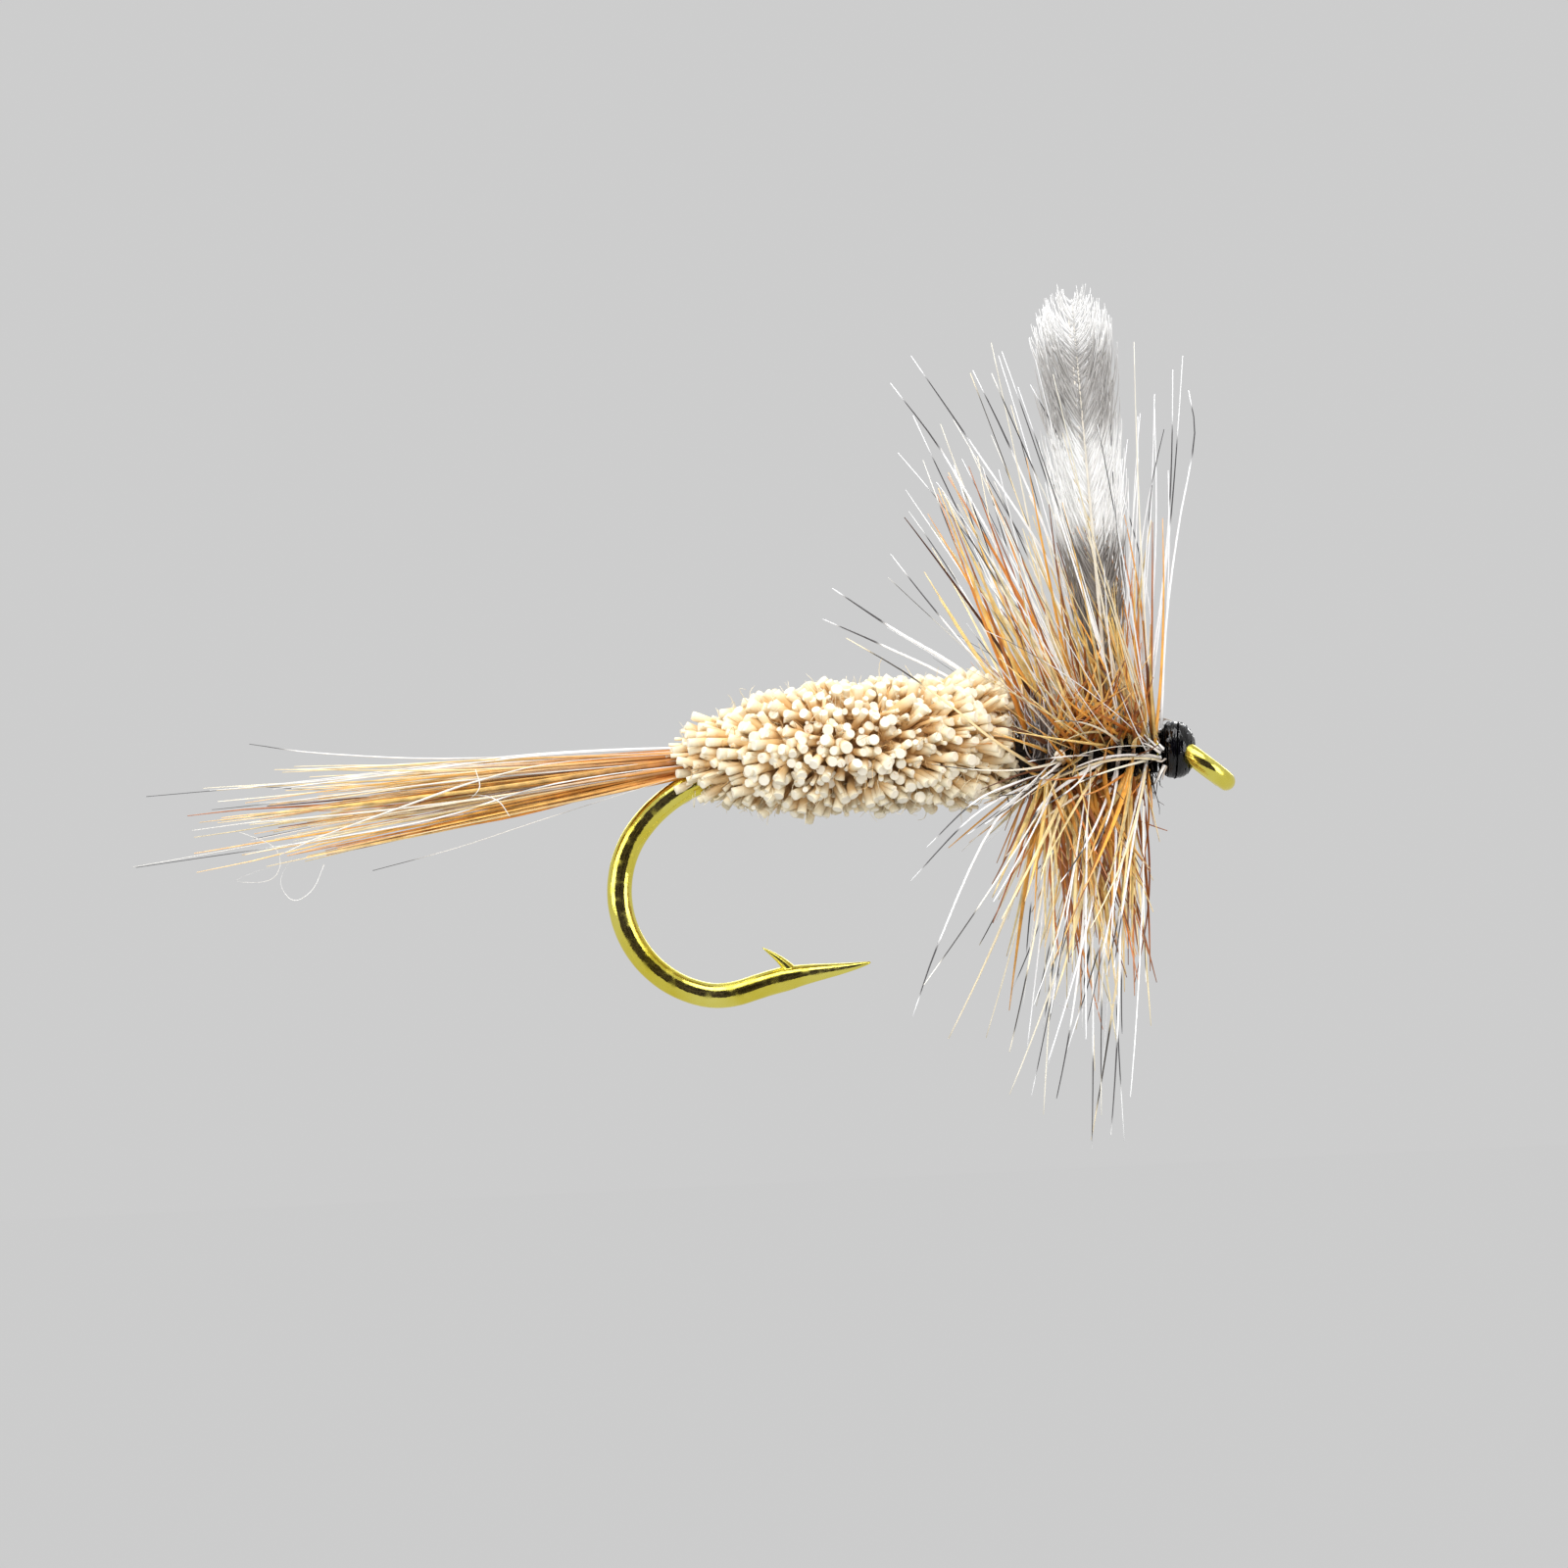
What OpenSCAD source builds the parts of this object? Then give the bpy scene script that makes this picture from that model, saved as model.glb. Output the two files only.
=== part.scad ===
// Dry fly: a tail, a body of spun and clipped deer hair, a pair of upright
// feather-tip wings and two wound hackles, tied on a down-eyed hook.
//
// The origin is the centre of the hole in the hook's eye. +X runs along the shank
// towards the eye, +Z is the side the wings stand on, and +Y is to the left of the
// fly. Lengths are millimetres. "Back" is a distance behind the eye, along -X.

/* [Hook] */
// Diameter of the hook wire
wire_d = 0.57; // [0.5:0.01:0.6]
// Diameter of the wire round the eye, where it is drawn thinner
eye_wire_d = 0.43; // [0.38:0.01:0.48]
// Diameter of the hole in the eye
eye_hole_d = 0.77; // [0.7:0.01:0.85]
// Width of the land pressed into the inside of the eye by its forming pin
eye_land = 0.16; // [0.08:0.01:0.2]
// Angle of the eye below the line of the shank
eye_angle = 40; // [30:1:50]
// Length over which the wire tapers down to the eye
taper_len = 1.2; // [0.8:0.1:1.6]
// Length from the eye to the start of the bend
shank_len = 10.5; // [10.3:0.1:10.8]
// Radius of the upper part of the bend, to the middle of the wire
upper_bend_r = 3.27; // [3:0.01:3.5]
// Angle turned by the upper part of the bend
upper_bend_angle = 50.5; // [45:0.5:55]
// Radius of the lower part of the bend, to the middle of the wire
lower_bend_r = 2.42; // [2.2:0.01:2.6]
// Upward slope of the point
point_slope = 10.4; // [5:0.1:15]
// Length of the point section, from the bend to the tip
point_len = 2.87; // [2.5:0.01:3.2]
// Length of the ground part of the point
point_taper = 2.0; // [1.6:0.1:2.2]
// Height of the barb's tip above the middle of the wire
barb_h = 0.9; // [0.7:0.05:1]

/* [Tail] */
// Number of fibres in the tail
tail_fibres = 36; // [20:1:36]
// Radius of the tail where its fibres are lashed down
tail_root_r = 0.27; // [0.27:0.01:0.3]
// Radius of the tail 22 mm behind the eye
tail_spread_r = 1.4; // [1:0.1:1.6]
// Furthest reach of the tail behind the eye
tail_reach = 24.6; // [22:0.1:26]
// Diameter of a fibre at its root
tail_fibre_d = 0.068; // [0.06:0.001:0.07]

/* [Hair body] */
// Largest radius of the clipped body
body_r = 1.6; // [1.5:0.05:1.75]
// Distance back from the eye to the front of the body
body_front = 4.24; // [4.2:0.01:4.4]
// Distance back from the eye to the rear of the body
body_rear = 11.97; // [11.8:0.01:12.1]
// Number of hair bunches spun along the shank
bunches = 6; // [6]
// Gap between one packed bunch and the next
bunch_gap = 0.02; // [0.01:0.01:0.05]

/* [Wings] */
// Height of the wing tips above the shank
wing_h = 10.5; // [9:0.1:11]
// Width of a wing at its widest
wing_w = 1.9; // [1.4:0.1:2.2]
// Angle of each wing out from upright
wing_splay = 15; // [15]
// Backward lean of the wings
wing_lean = 3; // [0:1:4]
// Diameter of a wing quill at its root
wing_quill_d = 0.12; // [0.1:0.01:0.13]

/* [Hackles] */
// Turns that each of the two hackles makes round the thorax
hackle_turns = 4; // [4]
// Fibres in each turn
barbs_per_turn = 24; // [24]
// Diameter of a hackle's quill
hackle_quill_d = 0.14; // [0.12:0.01:0.14]
// Length of the rearmost fibres
rear_barb_len = 7.6; // [6:0.1:8]
// Length of the foremost fibres
front_barb_len = 8.5; // [7.6:0.1:9]
// Backward lean of the rearmost fibres
rear_barb_lean = 22; // [10:1:22]

/* [Thread and head] */
// Thickness of a layer of tying thread
thread_t = 0.05; // [0.04:0.01:0.06]
// Largest radius of the finished head
head_r = 0.6; // [0.55:0.01:0.62]
// Thickness of the head cement
cement_t = 0.03; // [0.02:0.01:0.04]

/* [Hidden] */

eps = 0.01;
clear = 0.02;            // room left round a piece that passes through another
round_fn = 48;
fibre_fn = 16;
golden_angle = 137.508;

brown = "#b06a1c";
cream = "#e6d7ba";
grizzly = "#b9b4ac";
ivory = "#e3d5bb";
black = "#1b1a1d";

// Hook
ring_r = (eye_hole_d + eye_wire_d) / 2;
shank_z = ring_r * sin(eye_angle);
shank_start = ring_r * cos(eye_angle);
wire_r = wire_d / 2;
point_tip_r = 0.025;
barb_w = 0.3;

// Thread bases and lashings, as radii from the middle of the shank
base_r = wire_r + thread_t;
tail_base_front = 9.2;
tail_base_rear = 10.4;
thorax_front = 1.1;
thorax_rear = 4.18;
thorax_r = 0.5;

// Tail: the fibres fan out from a narrow root, in straight lines that never cross
tail_root = 9.65;
tail_fan_end = 22;
tail_root_z = shank_z + base_r + tail_root_r + 0.18;
tail_fan_z = 0.03;
tail_lashing_front = 9.6;
tail_lashing_rear = 10.3;
tail_tip_r = 0.012;

// Body: round in section, trimmed to half an ellipse behind and rounded in front
body_axis_z = 0.87;
body_full_rear = 8.3;
body_ellipse = 3.9;
body_round_start = 5.6;
body_round_len = 1.4;
body_round_depth = 0.9;
bunch_steps = 6;
thread_wire_r = 0.03;
thread_wrap_r = wire_r + thread_wire_r + 0.012;
body_bore_r = thread_wrap_r + thread_wire_r + clear;

// Hackles: two quills wound side by side, each half a pitch from the other
hackle_rear = 4.08;
hackle_front = 1.16;
hackle_pitch = (hackle_rear - hackle_front) / (hackle_turns + 0.5);
hackle_wound_r = thorax_r + hackle_quill_d / 2 + 0.015;
barb_root_r = hackle_wound_r + hackle_quill_d / 2 + 0.01;
barb_base_r = 0.07;
barb_tip_r = 0.018;
first_barb_angle = wing_splay / 2;

// Wings stand between two turns of quill, and between two rows of hackle fibres
wing_turn = 2.75;
wing_root_r = base_r + clear;
web_t = 0.08;
web_start = 2.6;
web_steps = 14;

// Head
head_front = 0.3;
head_rear = 1.04;
whip_turns = 3;
whip_wire_r = 0.025;

// Places its children at a distance behind the eye, on the shank's axis, with their
// z axis pointing back along the shank and their x axis pointing up
module at_shank(back) {
  translate([-back, 0, shank_z]) rotate([0, -90, 0]) children();
}

// A sleeve of thread or fur round the shank
module sleeve(front, rear, outer_r, inner_r) {
  at_shank(front) difference() {
    cylinder(h = rear - front, r = outer_r, $fn = round_fn);
    translate([0, 0, -eps])
      cylinder(h = rear - front + 2 * eps, r = inner_r, $fn = round_fn);
  }
}

// One tapered fibre along z
module fibre(length, root_r, tip_r) {
  cylinder(h = length, r1 = root_r, r2 = tip_r, $fn = fibre_fn);
}

// A round wire swept along a helix about z, as one closed solid. It climbs from z = 0
// through the given number of turns, starting on the x axis.
module wound_wire(coil_r, wire_r, pitch, turns, steps, sides) {
  rings = round(turns * steps);
  points = [
    for (i = [0:rings], j = [0:sides - 1])
      let (a = 360 * i / steps, b = 360 * j / sides, r = coil_r + wire_r * cos(b))
        [r * cos(a), r * sin(a), pitch * a / 360 + wire_r * sin(b)]
  ];
  walls = [
    for (i = [0:rings - 1], j = [0:sides - 1])
      let (k = (j + 1) % sides)
        [i * sides + j, (i + 1) * sides + j, (i + 1) * sides + k, i * sides + k]
  ];
  caps = [[for (j = [0:sides - 1]) j], [for (j = [sides - 1:-1:0]) rings * sides + j]];
  polyhedron(points, concat(walls, caps), convexity = 10);
}

// Hook -----------------------------------------------------------------------

module upper_bend(wire_r) {
  translate([-shank_len, 0, shank_z - upper_bend_r])
    rotate([90, 0, 0]) rotate([0, 0, 90])
      rotate_extrude(angle = upper_bend_angle, $fn = round_fn)
        translate([upper_bend_r, 0]) circle(r = wire_r, $fn = round_fn);
}

// The centre of the lower bend lies on the last radius of the upper one
lower_centre = [
  -shank_len - (upper_bend_r - lower_bend_r) * sin(upper_bend_angle),
  shank_z - upper_bend_r + (upper_bend_r - lower_bend_r) * cos(upper_bend_angle)
];
lower_bend_angle = 180 + point_slope - upper_bend_angle;
bends_meet = [
  lower_centre[0] - lower_bend_r * sin(upper_bend_angle),
  lower_centre[1] + lower_bend_r * cos(upper_bend_angle)
];
point_start = [
  lower_centre[0] + lower_bend_r * sin(point_slope),
  lower_centre[1] - lower_bend_r * cos(point_slope)
];

module lower_bend() {
  translate([lower_centre[0], 0, lower_centre[1]])
    rotate([90, 0, 0]) rotate([0, 0, 90 + upper_bend_angle])
      rotate_extrude(angle = lower_bend_angle, $fn = round_fn)
        translate([lower_bend_r, 0]) circle(r = wire_r, $fn = round_fn);
}

module eye_ring() {
  rotate([0, eye_angle, 0]) rotate_extrude($fn = round_fn) {
    translate([ring_r, 0]) circle(d = eye_wire_d, $fn = round_fn);
    translate([eye_hole_d / 2, -eye_land / 2]) square([eye_wire_d / 2, eye_land]);
  }
}

// A straight stretch of wire along z that goes from one radius to another, and keeps
// the larger one up to the distance of its far end
module tapered_wire(thin_at, thin_r, full_at, full_r, end_at) {
  rotate_extrude($fn = round_fn)
    polygon([[0, thin_at], [thin_r, thin_at], [full_r, full_at], [full_r, end_at], [0, end_at]]);
}

module shank() {
  at_shank(0) tapered_wire(shank_start - 0.04, 0.93 * eye_wire_d / 2,
                           shank_start + taper_len, wire_r, shank_len);
}

// The barb is a thin sliver, cut from the top of the wire and raised
module point_and_barb() {
  translate([point_start[0], 0, point_start[1]]) {
    rotate([0, 90 - point_slope, 0]) translate([0, 0, point_len]) mirror([0, 0, 1])
      tapered_wire(0, point_tip_r, point_taper, wire_r, point_len);
    rotate([90, 0, 0]) rotate([0, 0, point_slope])
      linear_extrude(height = barb_w, center = true)
        polygon([[0.92, 0.12], [1.38, 0.12], [1.18, 0.32], [0.66, barb_h], [0.86, 0.42]]);
  }
}

// Joins two stretches of wire that meet end to end, standing proud by a hundredth
module wire_joint(at) {
  translate([at[0], 0, at[1]]) sphere(r = 1.01 * wire_r, $fn = round_fn);
}

module hook() {
  color("#c9a227") union() {
    eye_ring();
    shank();
    wire_joint([-shank_len, shank_z]);
    upper_bend(wire_r);
    wire_joint(bends_meet);
    lower_bend();
    wire_joint(point_start);
    point_and_barb();
  }
}

// Tail -----------------------------------------------------------------------

// The middle of the tail's section, as a height above the eye
function tail_z(back) =
  tail_root_z + (tail_fan_z - tail_root_z) * (back - tail_root) / (tail_fan_end - tail_root);

// The radius of the tail's section
function tail_r(back) =
  tail_root_r + (tail_spread_r - tail_root_r) * (back - tail_root) / (tail_fan_end - tail_root);

// A fibre's place in the tail's section: sunflower order spaces them evenly
function tail_point(i, back) =
  let (r = tail_r(back) * sqrt((i + 0.5) / tail_fibres), a = golden_angle * i)
    [-back, r * sin(a), tail_z(back) + r * cos(a)];

module between(p, q) {
  v = q - p;
  translate(p) rotate([0, acos(v[2] / norm(v)), atan2(v[1], v[0])]) children();
}

// Every fibre whose place in the order leaves one of the given remainders
module tail_fibres_of(kinds, shortest, longest) {
  reaches = rands(shortest, longest, tail_fibres, 11);
  for (i = [0:tail_fibres - 1])
    if (len([for (k = kinds) if (i % 5 == k) k]) > 0) {
      p = tail_point(i, tail_root);
      q = tail_point(i, reaches[i]);
      between(p, q) fibre(norm(q - p), tail_fibre_d / 2, tail_tip_r);
    }
}

module tail_brown_fibres() {
  color(brown) tail_fibres_of([0, 3], tail_reach - 4.2, tail_reach - 2.6);
}

module tail_cream_fibres() {
  color(cream) tail_fibres_of([1, 4], tail_reach - 4, tail_reach - 1.6);
}

module tail_barred_fibres() {
  color(grizzly) tail_fibres_of([2], tail_reach - 2, tail_reach);
}

// The space that the tail takes up as a whole
module tail_envelope(front, rear, room) {
  translate([-front, 0, tail_z(front)])
    rotate([0, -90 - atan((tail_z(front) - tail_z(rear)) / (rear - front)), 0])
      cylinder(h = rear - front, r1 = tail_r(front) + tail_fibre_d / 2 + room,
               r2 = tail_r(rear) + tail_fibre_d / 2 + room, $fn = round_fn);
}

module tail_thread_base() {
  color(black) sleeve(tail_base_front, tail_base_rear, base_r, wire_r);
}

// The outside of the wraps that bind the tail down on the shank
module tail_lashing_block(room) {
  front = tail_lashing_front - room;
  len = tail_lashing_rear - tail_lashing_front + 2 * room;
  hull() {
    at_shank(front) cylinder(h = len, r = base_r + thread_t + room, $fn = 32);
    translate([0, 0, tail_z(tail_lashing_rear) - shank_z])
      at_shank(front)
        cylinder(h = len, r = tail_r(tail_lashing_rear) + 0.12 + room, $fn = 32);
  }
}

module tail_lashing() {
  color(black) difference() {
    tail_lashing_block(0);
    at_shank(tail_lashing_front - eps)
      cylinder(h = 1, r = base_r + eps, $fn = round_fn);
    tail_envelope(tail_root - 0.01, tail_lashing_rear + 0.5, 0.01);
  }
}

// Deer hair body ---------------------------------------------------------------

function body_trim_r(back) =
  back > body_full_rear
    ? body_r * sqrt(1 - pow((back - body_full_rear) / body_ellipse, 2))
    : back < body_round_start
      ? body_r - body_round_depth
          * (1 - sqrt(1 - pow((body_round_start - back) / body_round_len, 2)))
      : body_r;

// Bunch 1 is the rearmost
module deer_hair_bunch(n) {
  bunch_len = (body_rear - body_front) / bunches;
  rear = body_rear - (n - 1) * bunch_len;
  front = rear - bunch_len + bunch_gap;
  outline = [
    for (i = [0:bunch_steps])
      let (back = front + (rear - front) * i / bunch_steps)
        [body_trim_r(back), back - front]
  ];
  color(ivory) difference() {
    translate([0, 0, body_axis_z - shank_z]) at_shank(front)
      rotate_extrude($fn = round_fn)
        polygon(concat([[0, 0]], outline, [[0, rear - front]]));
    at_shank(front - eps)
      cylinder(h = rear - front + 2 * eps, r = body_bore_r, $fn = round_fn);
    if (rear > tail_root) {
      upper_bend(wire_r + clear);
      tail_envelope(tail_lashing_rear - 0.1, body_rear + 1, clear);
      tail_lashing_block(clear);
    }
  }
}

module deer_hair_bunch_1() { deer_hair_bunch(1); }
module deer_hair_bunch_2() { deer_hair_bunch(2); }
module deer_hair_bunch_3() { deer_hair_bunch(3); }
module deer_hair_bunch_4() { deer_hair_bunch(4); }
module deer_hair_bunch_5() { deer_hair_bunch(5); }
module deer_hair_bunch_6() { deer_hair_bunch(6); }

// The thread that binds each bunch runs on to the next in open turns
module body_thread() {
  start = thorax_rear + 0.08;
  pitch = 0.2;
  color(black) at_shank(start)
    wound_wire(thread_wrap_r, thread_wire_r, pitch,
               (tail_base_front - 0.08 - start) / pitch, 12, 6);
}

// Thorax and wings ---------------------------------------------------------------

wing_back = hackle_rear - hackle_pitch * wing_turn;

module thorax_thread_base() {
  color(black) sleeve(thorax_front, thorax_rear, base_r, wire_r);
}

module thorax_dubbing() {
  color("#3a302a") sleeve(wing_back + 0.4, thorax_rear - 0.06, thorax_r, base_r);
}

// side is 1 for the wing on the left of the fly and -1 for the one on the right.
// The quills stand where the wound hackles leave a gap, which moves with the helix.
module at_wing(side) {
  back = wing_back - side * hackle_pitch * wing_splay / 360;
  at_shank(back) rotate([0, 0, side * wing_splay])
    rotate([0, 90 - wing_lean, 0]) children();
}

module wing_quill(side, room) {
  length = wing_h / cos(wing_splay) - 0.4;
  at_wing(side) translate([0, 0, wing_root_r])
    fibre(length - wing_root_r, wing_quill_d / 2 + room, 0.02 + room);
}

// Half the width of the web, from 0 at its foot to 1 at its tip
function web_half(t) = wing_w / 2 * pow(sin(180 * pow(t, 0.85)), 0.6);

module wing_web(side) {
  tip = wing_h / cos(wing_splay);
  outline = [
    for (i = [0:web_steps]) let (t = i / web_steps) [web_half(t), web_start + (tip - web_start) * t]
  ];
  difference() {
    at_wing(side) rotate([90, 0, 0]) linear_extrude(height = web_t, center = true)
      polygon(concat(outline, [for (i = [web_steps - 1:-1:1]) [-outline[i][0], outline[i][1]]]));
    wing_quill(side, 0.004);
  }
}

module wing_left_quill() { color("#d8cfc0") wing_quill(1, 0); }
module wing_right_quill() { color("#d8cfc0") wing_quill(-1, 0); }
module wing_left_web() { color(grizzly) wing_web(1); }
module wing_right_web() { color(grizzly) wing_web(-1); }

module wing_lashing() {
  color(black) difference() {
    sleeve(wing_back - 0.3, wing_back + 0.38, thorax_r, base_r);
    wing_quill(1, 0.004);
    wing_quill(-1, 0.004);
  }
}

// Hackles --------------------------------------------------------------------------

// offset is 0 for the brown hackle and 0.5 for the grizzly one
function quill_back(offset, turn, angle) =
  hackle_rear - hackle_pitch * (turn + offset + angle / 360);

// 0 at the front of the hackles, 1 at their rear
function rearness(back) = (back - hackle_front) / (hackle_rear - hackle_front);

module hackle_quill(offset) {
  at_shank(hackle_rear - hackle_pitch * offset)
    mirror([0, 0, 1])
      wound_wire(hackle_wound_r, hackle_quill_d / 2, hackle_pitch, hackle_turns, 24, 8);
}

module hackle_turn(offset, turn) {
  for (i = [0:barbs_per_turn - 1]) {
    angle = first_barb_angle + 360 * i / barbs_per_turn;
    back = quill_back(offset, turn, angle);
    length = front_barb_len + (rear_barb_len - front_barb_len) * rearness(back);
    at_shank(back) rotate([0, 0, angle]) translate([barb_root_r, 0, 0])
      rotate([0, 90 - rear_barb_lean * rearness(back), 0])
        fibre(length, barb_base_r, barb_tip_r);
  }
}

module brown_hackle_quill() { color("#5f3a14") hackle_quill(0); }
module brown_hackle_turn_1() { color(brown) hackle_turn(0, 0); }
module brown_hackle_turn_2() { color(brown) hackle_turn(0, 1); }
module brown_hackle_turn_3() { color(brown) hackle_turn(0, 2); }
module brown_hackle_turn_4() { color(brown) hackle_turn(0, 3); }

module grizzly_hackle_quill() { color("#6f6a66") hackle_quill(0.5); }
module grizzly_hackle_turn_1() { color(grizzly) hackle_turn(0.5, 0); }
module grizzly_hackle_turn_2() { color(grizzly) hackle_turn(0.5, 1); }
module grizzly_hackle_turn_3() { color(grizzly) hackle_turn(0.5, 2); }
module grizzly_hackle_turn_4() { color(grizzly) hackle_turn(0.5, 3); }

module hackle_lashing() {
  color(black) sleeve(thorax_front, wing_back - 0.32, thorax_r, base_r);
}

// Head -----------------------------------------------------------------------------

// An egg-shaped head of the given outside radius, trimmed round the eye so that the
// hole and the way through it stay open
module head_outline(outer_r, trim) {
  mid = (head_front + head_rear) / 2;
  half = (head_rear - head_front) / 2 - trim;
  difference() {
    at_shank(mid) rotate_extrude($fn = round_fn)
      polygon([
        for (i = [0:12]) let (a = -90 + 15 * i)
          [max(0, outer_r * pow(cos(a), 0.6)), half * sin(a)]
      ]);
    rotate([0, eye_angle, 0]) rotate_extrude($fn = round_fn)
      translate([ring_r, 0]) circle(d = eye_wire_d + 2 * eps, $fn = round_fn);
    rotate([0, eye_angle + 180, 0])
      cylinder(h = 2, r1 = eye_hole_d / 2 + 0.03, r2 = eye_hole_d / 2 + 0.2, $fn = round_fn);
    at_shank(shank_start - 0.04)
      cylinder(h = taper_len + 0.04, r1 = 0.93 * eye_wire_d / 2 + eps, r2 = wire_r + eps,
               $fn = round_fn);
  }
}

thread_head_r = head_r - cement_t - 2 * whip_wire_r;

module head_thread() { color(black) head_outline(thread_head_r, cement_t); }

// The turns of the closing knot, side by side round the widest part of the head
module whip_finish() {
  mid = (head_front + head_rear) / 2;
  color("#2a282c") for (i = [0:whip_turns - 1])
    at_shank(mid + (i - (whip_turns - 1) / 2) * 2.1 * whip_wire_r)
      rotate_extrude($fn = round_fn)
        translate([thread_head_r + whip_wire_r, 0]) circle(r = whip_wire_r, $fn = 24);
}

module head_cement() {
  knot_half = whip_turns * 1.05 * whip_wire_r + eps;
  mid = (head_front + head_rear) / 2;
  color("#0d0c10") difference() {
    head_outline(head_r, 0);
    at_shank(mid) rotate_extrude($fn = round_fn)
      polygon([
        for (i = [0:12]) let (a = -90 + 15 * i)
          [max(0, thread_head_r * pow(cos(a), 0.6)),
           ((head_rear - head_front) / 2 - cement_t) * sin(a)]
      ]);
    at_shank(mid - knot_half)
      cylinder(h = 2 * knot_half, r = thread_head_r + 2 * whip_wire_r + 0.005,
               $fn = round_fn);
  }
}

hook();
tail_thread_base();
tail_brown_fibres();
tail_cream_fibres();
tail_barred_fibres();
tail_lashing();
body_thread();
deer_hair_bunch_1();
deer_hair_bunch_2();
deer_hair_bunch_3();
deer_hair_bunch_4();
deer_hair_bunch_5();
deer_hair_bunch_6();
thorax_thread_base();
thorax_dubbing();
wing_left_quill();
wing_left_web();
wing_right_quill();
wing_right_web();
wing_lashing();
brown_hackle_quill();
brown_hackle_turn_1();
brown_hackle_turn_2();
brown_hackle_turn_3();
brown_hackle_turn_4();
grizzly_hackle_quill();
grizzly_hackle_turn_1();
grizzly_hackle_turn_2();
grizzly_hackle_turn_3();
grizzly_hackle_turn_4();
hackle_lashing();
head_thread();
whip_finish();
head_cement();
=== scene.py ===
import math

import bpy
import numpy as np
from mathutils import Matrix, Vector


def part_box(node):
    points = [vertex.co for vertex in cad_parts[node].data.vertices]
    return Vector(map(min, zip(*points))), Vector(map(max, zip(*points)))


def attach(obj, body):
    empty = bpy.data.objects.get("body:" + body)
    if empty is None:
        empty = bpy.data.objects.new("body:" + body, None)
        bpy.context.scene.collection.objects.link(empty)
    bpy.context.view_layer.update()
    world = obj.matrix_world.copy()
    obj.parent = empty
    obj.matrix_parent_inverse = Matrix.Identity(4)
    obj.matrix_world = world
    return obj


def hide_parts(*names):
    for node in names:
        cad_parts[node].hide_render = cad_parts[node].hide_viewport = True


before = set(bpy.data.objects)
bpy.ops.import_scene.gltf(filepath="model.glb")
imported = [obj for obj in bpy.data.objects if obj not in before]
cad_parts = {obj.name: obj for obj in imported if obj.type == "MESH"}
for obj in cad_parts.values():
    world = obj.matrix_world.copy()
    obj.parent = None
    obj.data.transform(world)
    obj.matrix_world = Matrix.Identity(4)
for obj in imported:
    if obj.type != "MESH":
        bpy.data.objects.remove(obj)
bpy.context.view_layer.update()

# Sizes are millimetres until a mesh is made, and the frame's are metres.
MM = 0.001


# Studio: a pale floor that meets a pale surround, soft boxes overhead and on both sides,
# and a long lens level with the fly. A dark, dimly glowing card that only reflections see
# is a painted reflection of the unlit room behind the camera.
VIEW_DISTANCE = 300.0
VIEW_WIDTH = 36.0
VIEW_AIM = (-9.68, 0.0, 0.045)
VIEW_ROLL = math.radians(2.8)
PALE = (0.612, 0.612, 0.612)
FLOOR_DROP = 70.0
FLOOR_SIZE = 4000.0


def place(obj, matrix=None):
    bpy.context.scene.collection.objects.link(obj)
    if matrix is not None:
        obj.matrix_world = matrix
    return obj


def aimed_at(position, target):
    """A matrix at position whose -Z axis looks at target, in millimetres."""
    position = Vector(position) * MM
    facing = (Vector(target) * MM - position).to_track_quat("-Z", "Y")
    return Matrix.Translation(position) @ facing.to_matrix().to_4x4()


lens = bpy.data.cameras.new("long_lens")
lens.type = "PERSP"
lens.sensor_width = 36.0
lens.lens = lens.sensor_width * VIEW_DISTANCE / VIEW_WIDTH
lens.clip_start = 0.001
lens.clip_end = 20.0
upright = Matrix.Rotation(math.pi / 2, 4, "X") @ Matrix.Rotation(-VIEW_ROLL, 4, "Z")
stand = Matrix.Translation(Vector((VIEW_AIM[0], -VIEW_DISTANCE, VIEW_AIM[2])) * MM)
camera = place(bpy.data.objects.new("camera", lens), stand @ upright)
bpy.context.scene.camera = camera
bpy.context.scene.view_settings.view_transform = "Standard"

world = bpy.data.worlds.new("pale_surround")
bpy.context.scene.world = world
world.use_nodes = True
world.node_tree.nodes["Background"].inputs["Color"].default_value = (*PALE, 1.0)


def soft_box(name, position, width, height, watts, mirrored=True):
    lamp = bpy.data.lights.new(name, "AREA")
    lamp.shape = "RECTANGLE"
    lamp.size = width * MM
    lamp.size_y = height * MM
    lamp.energy = watts
    box = place(bpy.data.objects.new(name, lamp), aimed_at(position, (-9.0, 0.0, 0.0)))
    box.visible_camera = False
    box.visible_glossy = mirrored
    return box


soft_box("overhead_box", (-20.0, -60.0, 240.0), 260.0, 200.0, 0.48)
soft_box("left_box", (-260.0, -120.0, 60.0), 160.0, 200.0, 0.27)
soft_box("right_box", (240.0, -140.0, 40.0), 160.0, 200.0, 0.27)
soft_box("under_box", (0.0, -90.0, -200.0), 200.0, 120.0, 0.13)
soft_box("back_box", (-10.0, 240.0, 90.0), 240.0, 120.0, 0.20)
soft_box("front_box", (20.0, -250.0, 140.0), 200.0, 160.0, 0.36, mirrored=False)


def flat_sheet(name, corners, material):
    mesh = bpy.data.meshes.new(name)
    mesh.from_pydata([Vector(c) * MM for c in corners], [], [(0, 1, 2, 3)])
    mesh.materials.append(material)
    sheet = place(bpy.data.objects.new(name, mesh))
    return sheet


def new_material(name):
    """A material with one Principled shader. Returns it with its nodes and its shader."""
    material = bpy.data.materials.new(name)
    material.use_nodes = True
    tree = material.node_tree
    return material, tree.nodes, tree.nodes["Principled BSDF"]


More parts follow.
